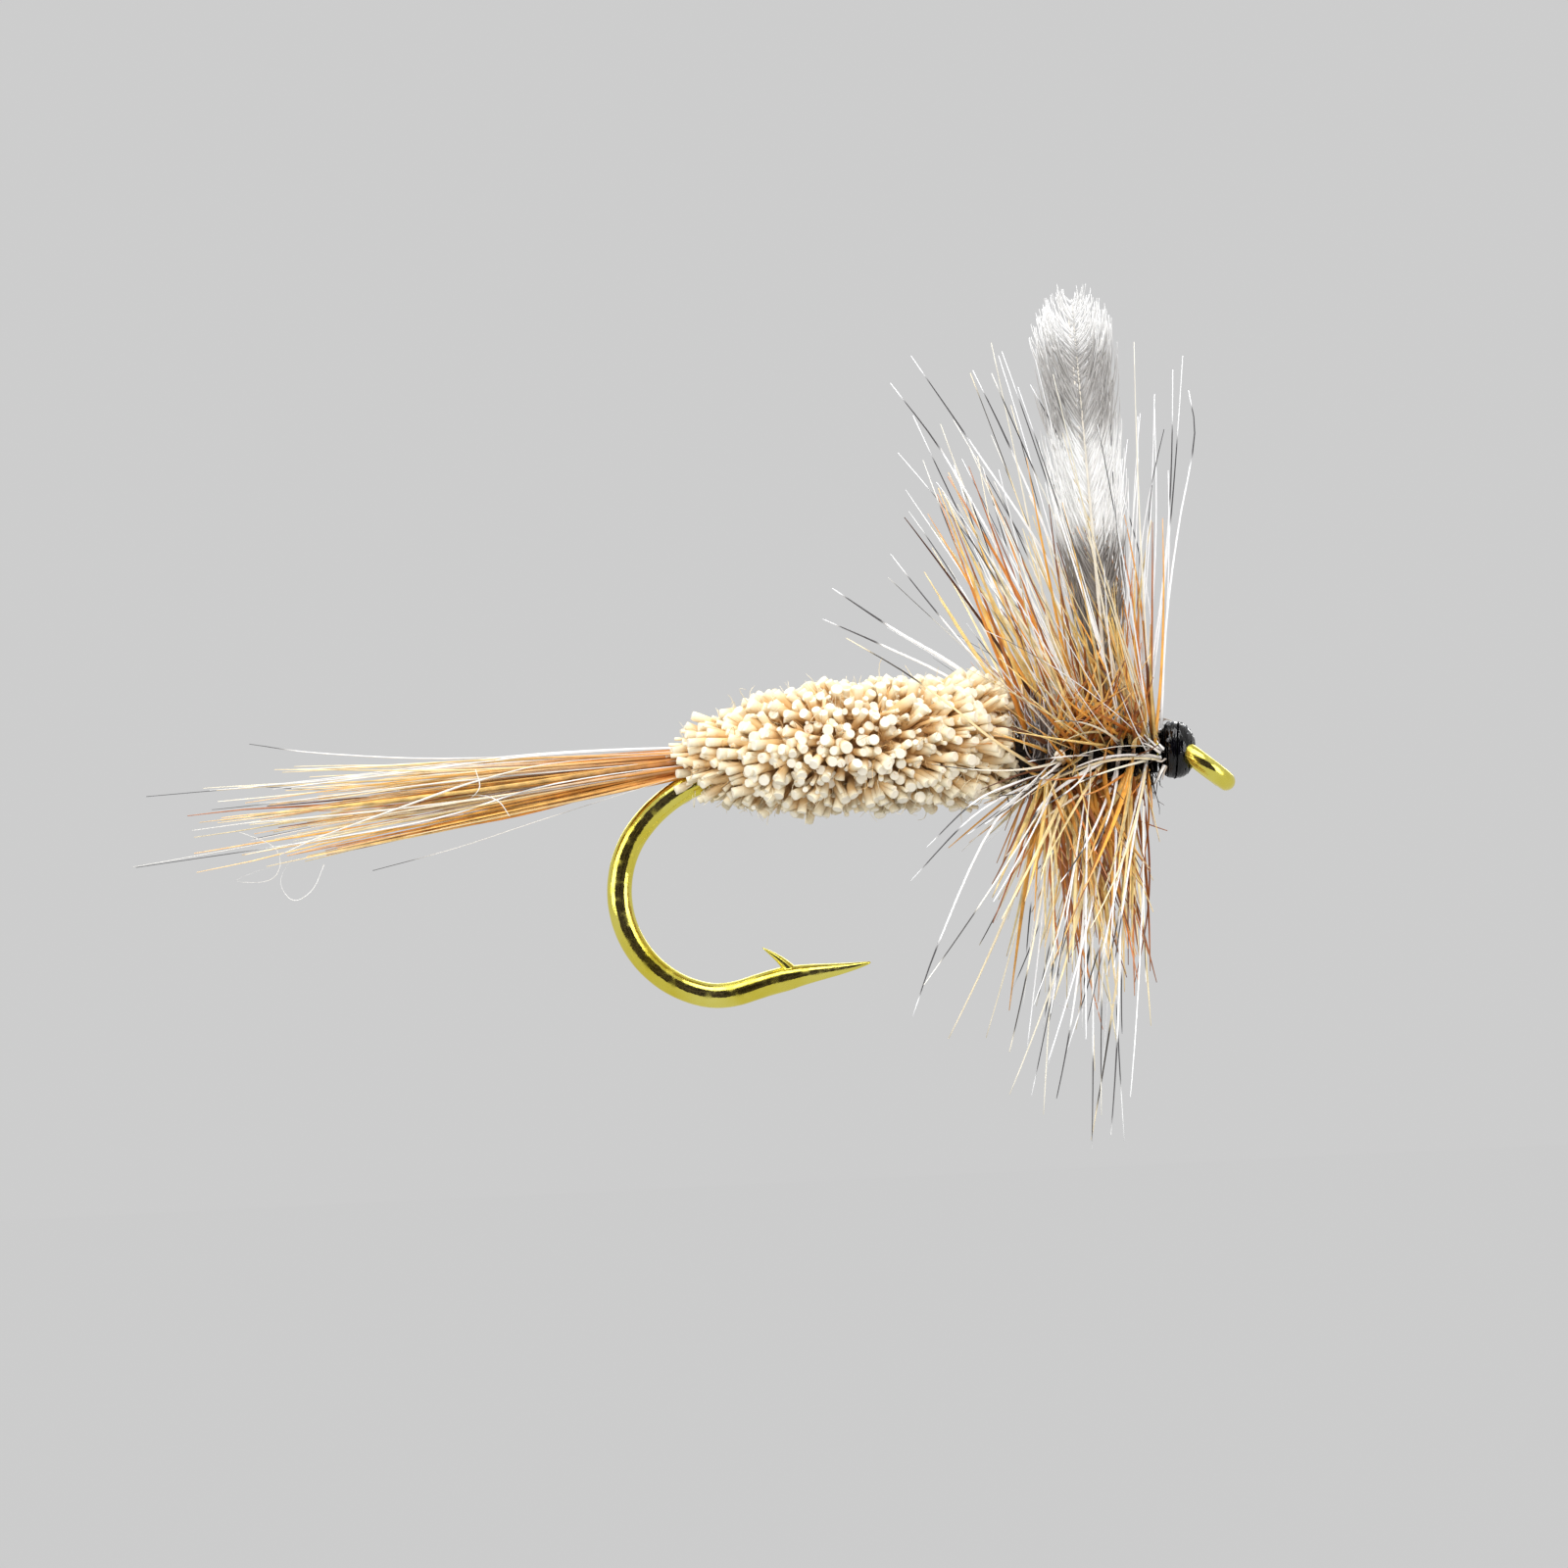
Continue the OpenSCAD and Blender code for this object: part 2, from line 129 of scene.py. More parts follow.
def fill(target, given):
    """Set a node's own sockets, each from a value or from (other node, its output)."""
    for name, value in given.items():
        if isinstance(value, tuple) and isinstance(value[0], bpy.types.Node):
            source, output = value
            target.id_data.links.new(source.outputs[output], target.inputs[name])
        else:
            target.inputs[name].default_value = value


def node(nodes, kind, given=None, **settings):
    """Add a shader node of this kind, with its settings and what its sockets are given."""
    made = nodes.new("ShaderNode" + kind)
    for name, value in settings.items():
        setattr(made, name, value)
    fill(made, given or {})
    return made


def ramp(nodes, stops, source):
    """A row of colours, picked by the Fac output of another node."""
    made = node(nodes, "ValToRGB", {"Fac": (source, "Fac")})
    row = made.color_ramp.elements
    while len(row) < len(stops):
        row.new(0.5)
    for stop, (position, colour) in zip(row, stops):
        stop.position = position
        stop.color = (*colour, 1.0)
    return made


floor_paint, _, shader = new_material("pale_floor")
fill(shader, {
    "Base Color": (0.02, 0.02, 0.02, 1.0), "Roughness": 1.0, "Specular IOR Level": 0.0,
    "Emission Color": (*PALE, 1.0), "Emission Strength": 0.97,
})
half = FLOOR_SIZE / 2
flat_sheet(
    "floor",
    [(-half, -half, -FLOOR_DROP), (half, -half, -FLOOR_DROP),
     (half, half, -FLOOR_DROP), (-half, half, -FLOOR_DROP)],
    floor_paint,
)

CARD_BACK = 200.0
CARD_HALF = 190.0
CARD_MID = -10.0
card_paint, nodes, shader = new_material("painted_reflection_card")
fill(shader, {"Base Color": (0.0, 0.0, 0.0, 1.0), "Specular IOR Level": 0.0})
# Painted reflection: a mottled dim glow that only glossy rays see, which darkens and mottles the
# reflections in the wire.
reflection_mottle = node(nodes, "TexNoise", {"Scale": 22.0, "Detail": 5.0})
shade = ramp(nodes, [(0.49, (0.014, 0.012, 0.026)), (0.72, (0.26, 0.22, 0.42))], reflection_mottle)
fill(shader, {"Emission Color": (shade, "Color"), "Emission Strength": 1.0})
card = flat_sheet(
    "dark_card",
    [(CARD_MID - CARD_HALF, -CARD_BACK, -CARD_HALF), (CARD_MID + CARD_HALF, -CARD_BACK, -CARD_HALF),
     (CARD_MID + CARD_HALF, -CARD_BACK, CARD_HALF), (CARD_MID - CARD_HALF, -CARD_BACK, CARD_HALF)],
    card_paint,
)
card.visible_camera = False
card.visible_diffuse = False
card.visible_shadow = False
card.visible_transmission = False


# Hook: one tempered steel wire, bent to two radii, ground to a point, its barb cut and
# raised, its tapered end closed into a ring and turned down. It is plated a pale gold.
WIRE_R = 0.285
EYE_WIRE_R = 0.215
EYE_RING_R = 0.6
EYE_DOWN = math.radians(40.0)
TAPER_LEN = 1.2
SHANK_LEN = 10.5
UPPER_R = 3.27
UPPER_TURN = math.radians(50.5)
LOWER_R = 2.42
POINT_SLOPE = math.radians(10.4)
POINT_LEN = 2.87
POINT_TAPER = 2.0
POINT_TIP_R = 0.022
POINT_RINGS = 39
BARB_LIFT = 0.14
LIFTED_RINGS = 56
SHANK_Z = EYE_RING_R * math.sin(EYE_DOWN)
FORWARD = np.array([1.0, 0.0, 0.0])


def unit(vectors):
    return vectors / np.linalg.norm(vectors, axis=-1, keepdims=True)


def piece(name, verts, faces, material, values=None, smooth=True):
    """A mesh object from points in millimetres. values are named numbers, one a point."""
    mesh = bpy.data.meshes.new(name)
    mesh.from_pydata((np.asarray(verts) * MM).tolist(), [], faces)
    mesh.materials.append(material)
    mesh.polygons.foreach_set("use_smooth", [smooth] * len(mesh.polygons))
    for key, numbers in (values or {}).items():
        layer = mesh.attributes.new(key, "FLOAT", "POINT")
        layer.data.foreach_set("value", np.asarray(numbers, np.float32).ravel())
    mesh.update()
    return place(bpy.data.objects.new(name, mesh))


def rows_of(*parts):
    """Rows of points from their x, y and z, each a list or one number."""
    return np.stack(np.broadcast_arrays(*parts), axis=-1)


def tube_faces(count, rings, sides):
    """The walls of closed tubes, and then the two rows of their end faces."""
    index = np.arange(count * rings * sides).reshape(count, rings, sides)
    ahead = np.roll(index, -1, axis=2)
    walls = np.stack([index[:, :-1], index[:, 1:], ahead[:, 1:], ahead[:, :-1]], axis=-1)
    return walls.reshape(-1, 4).tolist() + index[:, 0].tolist() + index[:, -1, ::-1].tolist()


def tubes(centres, widths, sides, depths=None, facing=None):
    """Closed round or flattened tubes along rows of points: n rows of k points each.
    widths and depths are half sizes, and facing is the direction that a flat one faces."""
    count, rings, _ = centres.shape
    depths = widths if depths is None else depths
    along = unit(np.gradient(centres, axis=1))
    if facing is None:
        facing = np.tile([0.31, 0.87, 0.38], (count, 1))
    up = facing[:, None, :] - along * np.sum(facing[:, None, :] * along, -1, keepdims=True)
    up = unit(up)
    side = np.cross(along, up)
    angle = 2 * np.pi * np.arange(sides) / sides
    verts = (
        centres[:, :, None, :]
        + side[:, :, None, :] * (widths[:, :, None] * np.cos(angle))[..., None]
        + up[:, :, None, :] * (depths[:, :, None] * np.sin(angle))[..., None]
    )
    return verts.reshape(-1, 3), tube_faces(count, rings, sides)


def hook_route():
    """The middle of the wire from the eye to the tip of the point, and its radius."""
    points = []
    radii = []
    start = -EYE_RING_R * math.cos(EYE_DOWN)
    for t in np.linspace(0.0, 1.0, 10):
        points.append((start - TAPER_LEN * t, SHANK_Z))
        radii.append(EYE_WIRE_R + (WIRE_R - EYE_WIRE_R) * t)
    for x in np.linspace(start - TAPER_LEN, -SHANK_LEN, 12)[1:]:
        points.append((x, SHANK_Z))
        radii.append(WIRE_R)
    middle = (-SHANK_LEN, SHANK_Z - UPPER_R)
    for turn in np.linspace(0.0, UPPER_TURN, 40)[1:]:
        points.append((middle[0] - UPPER_R * math.sin(turn), middle[1] + UPPER_R * math.cos(turn)))
        radii.append(WIRE_R)
    shift = UPPER_R - LOWER_R
    middle = (
        middle[0] - shift * math.sin(UPPER_TURN),
        middle[1] + shift * math.cos(UPPER_TURN),
    )
    for turn in np.linspace(UPPER_TURN, math.pi + POINT_SLOPE, 90)[1:]:
        points.append((middle[0] - LOWER_R * math.sin(turn), middle[1] + LOWER_R * math.cos(turn)))
        radii.append(WIRE_R)
    last = points[-1]
    for t in np.linspace(0.0, 1.0, POINT_RINGS + 1)[1:]:
        run = POINT_LEN * t
        grind = min(1.0, (POINT_LEN - run) / POINT_TAPER)
        points.append((last[0] + run * math.cos(POINT_SLOPE), last[1] + run * math.sin(POINT_SLOPE)))
        radii.append(POINT_TIP_R + (WIRE_R - POINT_TIP_R) * grind ** 0.85)
    route = np.insert(np.array(points), 1, 0.0, axis=1)
    radii = np.array(radii)
    # The point is ground away more from below, and the cut for the barb lifts its root.
    route[:, 2] += 0.25 * (WIRE_R - radii) * (np.arange(len(radii)) >= len(radii) - POINT_RINGS)
    lifted = np.linspace(0.0, 1.0, LIFTED_RINGS)
    route[-LIFTED_RINGS:, 2] += BARB_LIFT * (1 - np.cos(2 * np.pi * lifted)) / 2
    return route[None], radii[None], np.array([last[0], 0.0, last[1]])


def ring_of(radius, wire_r, steps, sides):
    """The eye: a closed ring about z, before it is turned down."""
    a = 2 * np.pi * np.arange(steps) / steps
    b = 2 * np.pi * np.arange(sides) / sides
    reach = radius + wire_r * np.cos(b)[None, :]
    verts = rows_of(reach * np.cos(a)[:, None], reach * np.sin(a)[:, None], wire_r * np.sin(b))
    index = np.arange(steps * sides).reshape(steps, sides)
    ahead = np.roll(index, -1, axis=0)
    faces = np.stack(
        [index, ahead, np.roll(ahead, -1, axis=1), np.roll(index, -1, axis=1)], axis=-1
    ).reshape(-1, 4)
    return verts.reshape(-1, 3), faces.tolist()


def gold_plate():
    material, nodes, shader = new_material("pale_gold_plate")
    place_in = node(nodes, "TexCoord")
    patch = node(nodes, "TexNoise", {"Vector": (place_in, "Object"), "Scale": 900.0, "Detail": 5.0})
    tone = ramp(nodes, [(0.3, (0.79, 0.66, 0.055)), (0.7, (0.93, 0.85, 0.20))], patch)
    draw_lines = node(
        nodes, "TexNoise",
        {"Vector": (place_in, "Object"), "Scale": 3400.0, "Detail": 6.0},
    )
    dull = node(
        nodes, "MapRange",
        {"Value": (draw_lines, "Fac"), "From Min": 0.46, "From Max": 0.66, "To Min": 0.05,
         "To Max": 0.40},
    )
    dents = node(
        nodes, "Bump",
        {"Height": (draw_lines, "Fac"), "Strength": 0.6, "Distance": 0.000018},
    )
    fill(shader, {
        "Metallic": 1.0, "Specular Tint": (1.0, 0.97, 0.82, 1.0), "Base Color": (tone, "Color"),
        "Roughness": (dull, "Result"), "Normal": (dents, "Normal"),
    })
    return material


def joined(name, parts, material):
    """Closed shells that overlap, united into one clean surface."""
    objects = [piece(name, verts, faces, material) for verts, faces in parts]
    body = objects[0]
    for extra in objects[1:]:
        cut = body.modifiers.new("unite", "BOOLEAN")
        cut.operation = "UNION"
        cut.solver = "EXACT"
        cut.object = extra
        bpy.context.view_layer.update()
        solid = bpy.data.meshes.new_from_object(body.evaluated_get(bpy.context.evaluated_depsgraph_get()))
        body.modifiers.clear()
        body.data = solid
        bpy.data.objects.remove(extra)
    body.data.polygons.foreach_set("use_smooth", [True] * len(body.data.polygons))
    return body


def barb_sliver(root):
    """A curved sliver that rises back from the top of the wire near the point."""
    run = np.array([math.cos(POINT_SLOPE), 0.0, math.sin(POINT_SLOPE)])
    rise = np.array([-math.sin(POINT_SLOPE), 0.0, math.cos(POINT_SLOPE)])
    t = np.linspace(0.0, 1.0, 18)
    forward = 1.10 - 0.56 * t + 0.09 * np.sin(np.pi * t)
    height = 0.19 + 0.77 * t ** 1.15
    centres = root + forward[:, None] * run + height[:, None] * rise
    widths = 0.20 * (1 - t) ** 0.6 + 0.008
    thick = 0.165 * (1 - t) ** 0.8 + 0.006
    return tubes(centres[None], widths[None], 16, thick[None], facing=run[None])


gold = gold_plate()
route, wire_radii, point_root = hook_route()
ring_verts, ring_faces = ring_of(EYE_RING_R, EYE_WIRE_R, 96, 40)
tilt = np.array(Matrix.Rotation(EYE_DOWN, 3, "Y"))
hook = joined(
    "bent_wire_hook",
    [tubes(route, wire_radii, 48), (ring_verts @ tilt.T, ring_faces), barb_sliver(point_root)],
    gold,
)
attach(hook, "root")
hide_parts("hook")


# Thread: black waxed tying thread, wound in touching turns. It beds the shank for each
# material and lashes the materials down. What lies under the hair and fur keeps its shape.
THREAD_R = 0.026


def thread_black():
    material, nodes, shader = new_material("black_waxed_thread")
    where = node(nodes, "TexCoord")
    turns = node(
        nodes, "TexWave",
        {"Vector": (where, "Object"), "Scale": 3200.0, "Distortion": 0.6},
        wave_type="BANDS", bands_direction="X",
    )
    lint = node(nodes, "TexNoise", {"Vector": (where, "Object"), "Scale": 9000.0})
    tone = ramp(nodes, [(0.0, (0.0002, 0.0002, 0.0003)), (1.0, (0.0016, 0.0016, 0.0020))], lint)
    ridges = node(nodes, "Bump", {"Height": (turns, "Fac"), "Strength": 0.7, "Distance": 0.00002})
    fill(shader, {
        "Base Color": (tone, "Color"), "Normal": (ridges, "Normal"), "Roughness": 0.42,
        "Specular IOR Level": 0.01,
    })
    return material


black_thread = thread_black()
for name in ("tail_thread_base", "tail_lashing", "body_thread", "thorax_thread_base",
             "wing_lashing", "hackle_lashing"):
    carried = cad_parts[name]
    carried.data.materials.clear()
    carried.data.materials.append(black_thread)


# Tail: three kinds of stiff hackle fibre tied in as one bundle, brown in the core, cream
# and white round it, and a few finer barred ones that reach past the rest.
TAIL_ROOT_X = -9.7
TAIL_OUT_X = -11.97
TAIL_Z = 0.63
TAIL_DROP = 0.083
TAIL_R = 0.30
TAIL_SPREAD = 0.092
TAIL_RINGS = 22


def bristles(name, material, centres, widths, sides=8, depths=None, facing=None, **own):
    """One piece made of many separate strands. own holds a number a strand or a ring."""
    verts, faces = tubes(centres, widths, sides, depths, facing)
    count, rings = widths.shape
    values = {"along": np.tile(np.repeat(np.linspace(0.0, 1.0, rings), sides), count)}
    for key, numbers in own.items():
        values[key] = np.repeat(numbers, sides if numbers.ndim == 2 else rings * sides)
    return piece(name, verts, faces, material, values)


def through(points, rings):
    """A smooth line through a few points."""
    points = np.array(points)
    knots = np.linspace(0.0, 1.0, len(points))
    t = np.linspace(0.0, 1.0, rings)
    slopes = np.gradient(points, knots, axis=0)
    at = np.clip(np.searchsorted(knots, t, side="right") - 1, 0, len(points) - 2)
    gap = (knots[at + 1] - knots[at])[:, None]
    u = ((t - knots[at])[:, None]) / gap
    return (
        (2 * u ** 3 - 3 * u ** 2 + 1) * points[at] + (u ** 3 - 2 * u ** 2 + u) * gap * slopes[at]
        + (3 * u ** 2 - 2 * u ** 3) * points[at + 1] + (u ** 3 - u ** 2) * gap * slopes[at + 1]
    )


def socket(group, way, name, kind, value=None):
    made = group.interface.new_socket(name=name, in_out=way, socket_type=kind)
    if value is not None:
        made.default_value = value
    return made


def strand_tint_group():
    """Root, middle and tip colours along each strand, its own tone, and fine streaks."""
    group = bpy.data.node_groups.new("Strand tint", "ShaderNodeTree")
    for name, colour in (("Root", (0.3, 0.2, 0.1, 1)), ("Middle", (0.5, 0.3, 0.1, 1)),
                         ("Tip", (0.8, 0.7, 0.5, 1))):
        socket(group, "INPUT", name, "NodeSocketColor", colour)
    socket(group, "INPUT", "Middle From", "NodeSocketFloat", 0.15)
    socket(group, "INPUT", "Tip From", "NodeSocketFloat", 0.7)
    socket(group, "INPUT", "Variety", "NodeSocketFloat", 0.4)
    socket(group, "INPUT", "Streaks", "NodeSocketFloat", 0.35)
    socket(group, "OUTPUT", "Color", "NodeSocketColor")
    socket(group, "OUTPUT", "Height", "NodeSocketFloat")
    nodes = group.nodes
    given = nodes.new("NodeGroupInput")
    result = nodes.new("NodeGroupOutput")
    along = node(nodes, "Attribute", attribute_name="along")
    strand = node(nodes, "Attribute", attribute_name="strand")
    first = node(
        nodes, "MapRange",
        {"Value": (along, "Fac"), "From Max": (given, "Middle From")},
        interpolation_type="SMOOTHSTEP",
    )
    second = node(
        nodes, "MapRange",
        {"Value": (along, "Fac"), "From Min": (given, "Tip From")}, interpolation_type="SMOOTHSTEP",
    )
    low = node(
        nodes, "Mix",
        {"Factor": (first, "Result"), "A": (given, "Root"), "B": (given, "Middle")},
        data_type="RGBA",
    )
    high = node(
        nodes, "Mix",
        {"Factor": (second, "Result"), "A": (low, "Result"), "B": (given, "Tip")}, data_type="RGBA",
    )
    where = node(nodes, "TexCoord")
    streak = node(nodes, "TexNoise", {"Vector": (where, "Object"), "Scale": 3000.0, "Detail": 3.0})
    own = node(nodes, "MapRange", {"Value": (strand, "Fac"), "To Min": -0.5, "To Max": 0.5})
    varied = node(
        nodes, "Math",
        {0: (own, "Result"), 1: (given, "Variety"), 2: 1.0}, operation="MULTIPLY_ADD",
    )
    spot = node(
        nodes, "MapRange",
        {"Value": (streak, "Fac"), "From Min": 0.35, "From Max": 0.65, "To Min": -1.0,
         "To Max": 0.0},
    )
    bright = node(
        nodes, "Math",
        {0: (spot, "Result"), 1: (given, "Streaks"), 2: (varied, "Value")},
        operation="MULTIPLY_ADD",
    )
    shade = node(nodes, "HueSaturation", {"Color": (high, "Result"), "Value": (bright, "Value")})
    fill(result, {"Color": (shade, "Color"), "Height": (streak, "Fac")})
    return group


strand_tint = strand_tint_group()


def bar_group():
    """A soft-edged band: 1 between two places on a strand, and 0 outside them."""
    group = bpy.data.node_groups.new("Feather bar", "ShaderNodeTree")
    for name, value in (("Place", 0.0), ("From", 0.6), ("To", 0.9), ("Edge", 0.04)):
        socket(group, "INPUT", name, "NodeSocketFloat", value)
    socket(group, "OUTPUT", "Mask", "NodeSocketFloat")
    nodes = group.nodes
    given = nodes.new("NodeGroupInput")
    result = nodes.new("NodeGroupOutput")
    sides = []
    for edge, start, stop in (("From", 0.0, 1.0), ("To", 1.0, 0.0)):
        low = node(nodes, "Math", {0: (given, edge), 1: (given, "Edge")}, operation="SUBTRACT")
        high = node(nodes, "Math", {0: (given, edge), 1: (given, "Edge")}, operation="ADD")
        ramped = node(
            nodes, "MapRange",
            {"Value": (given, "Place"), "From Min": (low, "Value"), "From Max": (high, "Value"),
             "To Min": start, "To Max": stop},
            interpolation_type="SMOOTHSTEP",
        )
        sides.append((ramped, "Result"))
    both = node(nodes, "Math", dict(enumerate(sides)), operation="MULTIPLY")
    fill(result, {"Mask": (both, "Value")})
    return group


feather_bar = bar_group()


def fibre_finish(
    name, stops, root_value, tip_value, streaks=0.4, variety=0.5, gloss=0.38,
    root_depth=0.25, root_colour=None, bars=None,
):
    """Hackle fibre: a palette across strands, darker or paler at root and tip. bars are the
    number that places them, rows of start, stop, edge and depth, and their dark colour."""
    material, nodes, shader = new_material(name)
    colour = ramp(nodes, stops, node(nodes, "Attribute", attribute_name="tone"))
    toned = {
        "Middle From": root_depth, "Tip From": 0.72, "Variety": variety, "Streaks": streaks,
        "Middle": (colour, "Color"),
    }
    for end, value, saturation in (("Root", root_value, 1.0), ("Tip", tip_value, 0.8)):
        change = node(
            nodes, "HueSaturation",
            {"Value": value, "Saturation": saturation, "Color": (colour, "Color")},
        )
        toned[end] = (change, "Color")
    if root_colour is not None:
        toned["Root"] = (*root_colour, 1.0)
    tint = node(nodes, "Group", toned, node_tree=strand_tint)
    shown = (tint, "Color")
    if bars:
        attribute, bands, dark = bars
        place_on = node(nodes, "Attribute", attribute_name=attribute)
        for start, stop, edge, ink in bands:
            band = node(
                nodes, "Group",
                {"Place": (place_on, "Fac"), "From": start, "To": stop, "Edge": edge},
                node_tree=feather_bar,
            )
            depth = node(nodes, "Math", {0: (band, "Mask"), 1: ink}, operation="MULTIPLY")
            over = node(
                nodes, "Mix", {"Factor": (depth, "Value"), "A": shown, "B": (*dark, 1.0)},
                data_type="RGBA",
            )
            shown = (over, "Result")
    grain = node(
        nodes, "Bump", {"Strength": 0.3, "Distance": 0.00001, "Height": (tint, "Height")}
    )
    fill(shader, {"Base Color": shown, "Normal": (grain, "Normal"), "Roughness": gloss})
    return material


BROWN_STOPS = [
    (0.00, (0.070, 0.022, 0.008)),
    (0.14, (0.250, 0.070, 0.014)),
    (0.34, (0.620, 0.190, 0.024)),
    (0.58, (0.890, 0.430, 0.070)),
    (0.80, (0.960, 0.680, 0.230)),
    (1.00, (0.960, 0.840, 0.520)),
]
GOLD_STOPS = [
    (0.00, (0.760, 0.400, 0.090)),
    (0.35, (0.880, 0.590, 0.200)),
    (0.65, (0.940, 0.770, 0.410)),
    (1.00, (0.950, 0.900, 0.740)),
]
WHITE_STOPS = [
    (0.00, (0.800, 0.760, 0.680)),
    (1.00, (0.930, 0.930, 0.920)),
]


def tail_lines(rng, count, reach, reach_jitter, high, low):
    """Fibre centre lines from the lashing out to scattered ends. high and low bound the
    ends across the fan, -1 at its lower edge and 1 at its upper."""
    across = rng.uniform(-0.9, 0.9, count)
    rise = rng.uniform(low, high, count)
    start_rise = np.clip(rise * 0.8 + rng.normal(0.0, 0.25, count), -1.0, 1.0)
    end = -reach + rng.normal(0.0, reach_jitter, count)
    t = np.linspace(0.0, 1.0, TAIL_RINGS)
    x = TAIL_ROOT_X + (end - TAIL_ROOT_X)[:, None] * t
    out = np.clip((TAIL_OUT_X - x) / 10.0, -0.2, 2.0)
    fan = TAIL_R + TAIL_SPREAD * 10.0 * out
    ease = np.clip(out, 0.0, 1.0) ** 1.2
    height = start_rise[:, None] * (1 - ease) + rise[:, None] * ease
    wander = rng.normal(0.0, 0.03, count)[:, None] * np.sin(2.6 * np.pi * t)[None]
    z = TAIL_Z - TAIL_DROP * 10.0 * out + fan * height + wander
    y = fan * across[:, None] * 0.8 + wander[::-1]
    return rows_of(x, y, z)


def tapered(count, rings, base, tip, power=0.8):
    t = np.linspace(0.0, 1.0, rings)[None]
    return tip + (np.asarray(base).reshape(-1, 1) - tip) * (1 - t) ** power + np.zeros((count, 1))


# A strand's bar value runs from 0 at its root to 1 at its tip, and PLAIN puts it past every bar.
PLAIN = 10.0
t_along = np.linspace(0.0, 1.0, TAIL_RINGS)[None]
# The pale strands are thin where they come out of the lashing, and full half way out.
PALE_SWELL = np.minimum(0.08 + 0.6 * t_along + 2.4 * t_along ** 2, 1.0)
rng = np.random.default_rng(41)
brown_fibre = fibre_finish(
    "brown_hackle_fibre", BROWN_STOPS, 1.0, 1.15, root_depth=0.72,
    root_colour=(0.50, 0.125, 0.012),
)
cream_fibre = fibre_finish(
    "cream_hackle_fibre", GOLD_STOPS, 1.0, 1.1, streaks=0.2, root_depth=0.85,
    root_colour=(0.76, 0.28, 0.034),
)
white_fibre = fibre_finish("white_hackle_fibre", WHITE_STOPS, 0.95, 1.0, streaks=0.08, variety=0.1)

count = 44
lines = tail_lines(rng, count, 20.3, 1.3, 0.30, -1.02)
tail_brown = bristles(
    "brown_tail_fibres", brown_fibre, lines,
    tapered(count, TAIL_RINGS, rng.uniform(0.035, 0.065, count), 0.010),
    strand=rng.random(count), tone=rng.beta(1.6, 1.5, count) * 0.85 + 0.08,
)
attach(tail_brown, "root")
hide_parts("tail_brown_fibres")

count = 58
lines = tail_lines(rng, count, 20.8, 1.2, 1.0, -0.95)
tail_cream = bristles(
    "cream_tail_fibres", cream_fibre, lines,
    tapered(count, TAIL_RINGS, rng.uniform(0.028, 0.055, count), 0.008),
    strand=rng.random(count), tone=rng.random(count),
)
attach(tail_cream, "root")
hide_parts("tail_cream_fibres")

count = 3
lines = tail_lines(rng, count, 21.6, 1.2, 0.6, -1.05)
tail_white = bristles(
    "white_tail_fibres", white_fibre, lines,
    tapered(count, TAIL_RINGS, rng.uniform(0.032, 0.06, count), 0.008) * PALE_SWELL,
    strand=rng.random(count), tone=rng.random(count),
)
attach(tail_white, "root")

barred_fibre = fibre_finish(
    "barred_hackle_fibre", WHITE_STOPS, 0.9, 1.0, streaks=0.1, variety=0.15,
    bars=("bar", [(0.40, 0.48, 0.03, 0.45), (0.86, 1.10, 0.05, 0.90)], (0.030, 0.030, 0.036)),
)
count = 6
lines = tail_lines(rng, count, 22.6, 0.9, 1.0, -0.5)
own_bar = t_along + rng.uniform(-0.06, 0.06, (count, 1)) + PLAIN * (rng.random((count, 1)) < 0.5)
tail_barred = bristles(
    "barred_tail_fibres", barred_fibre, lines,
    tapered(count, TAIL_RINGS, rng.uniform(0.022, 0.035, count), 0.007) * PALE_SWELL,
    strand=rng.random(count), tone=rng.random(count), bar=own_bar,
)
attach(tail_barred, "root")
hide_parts("tail_barred_fibres")

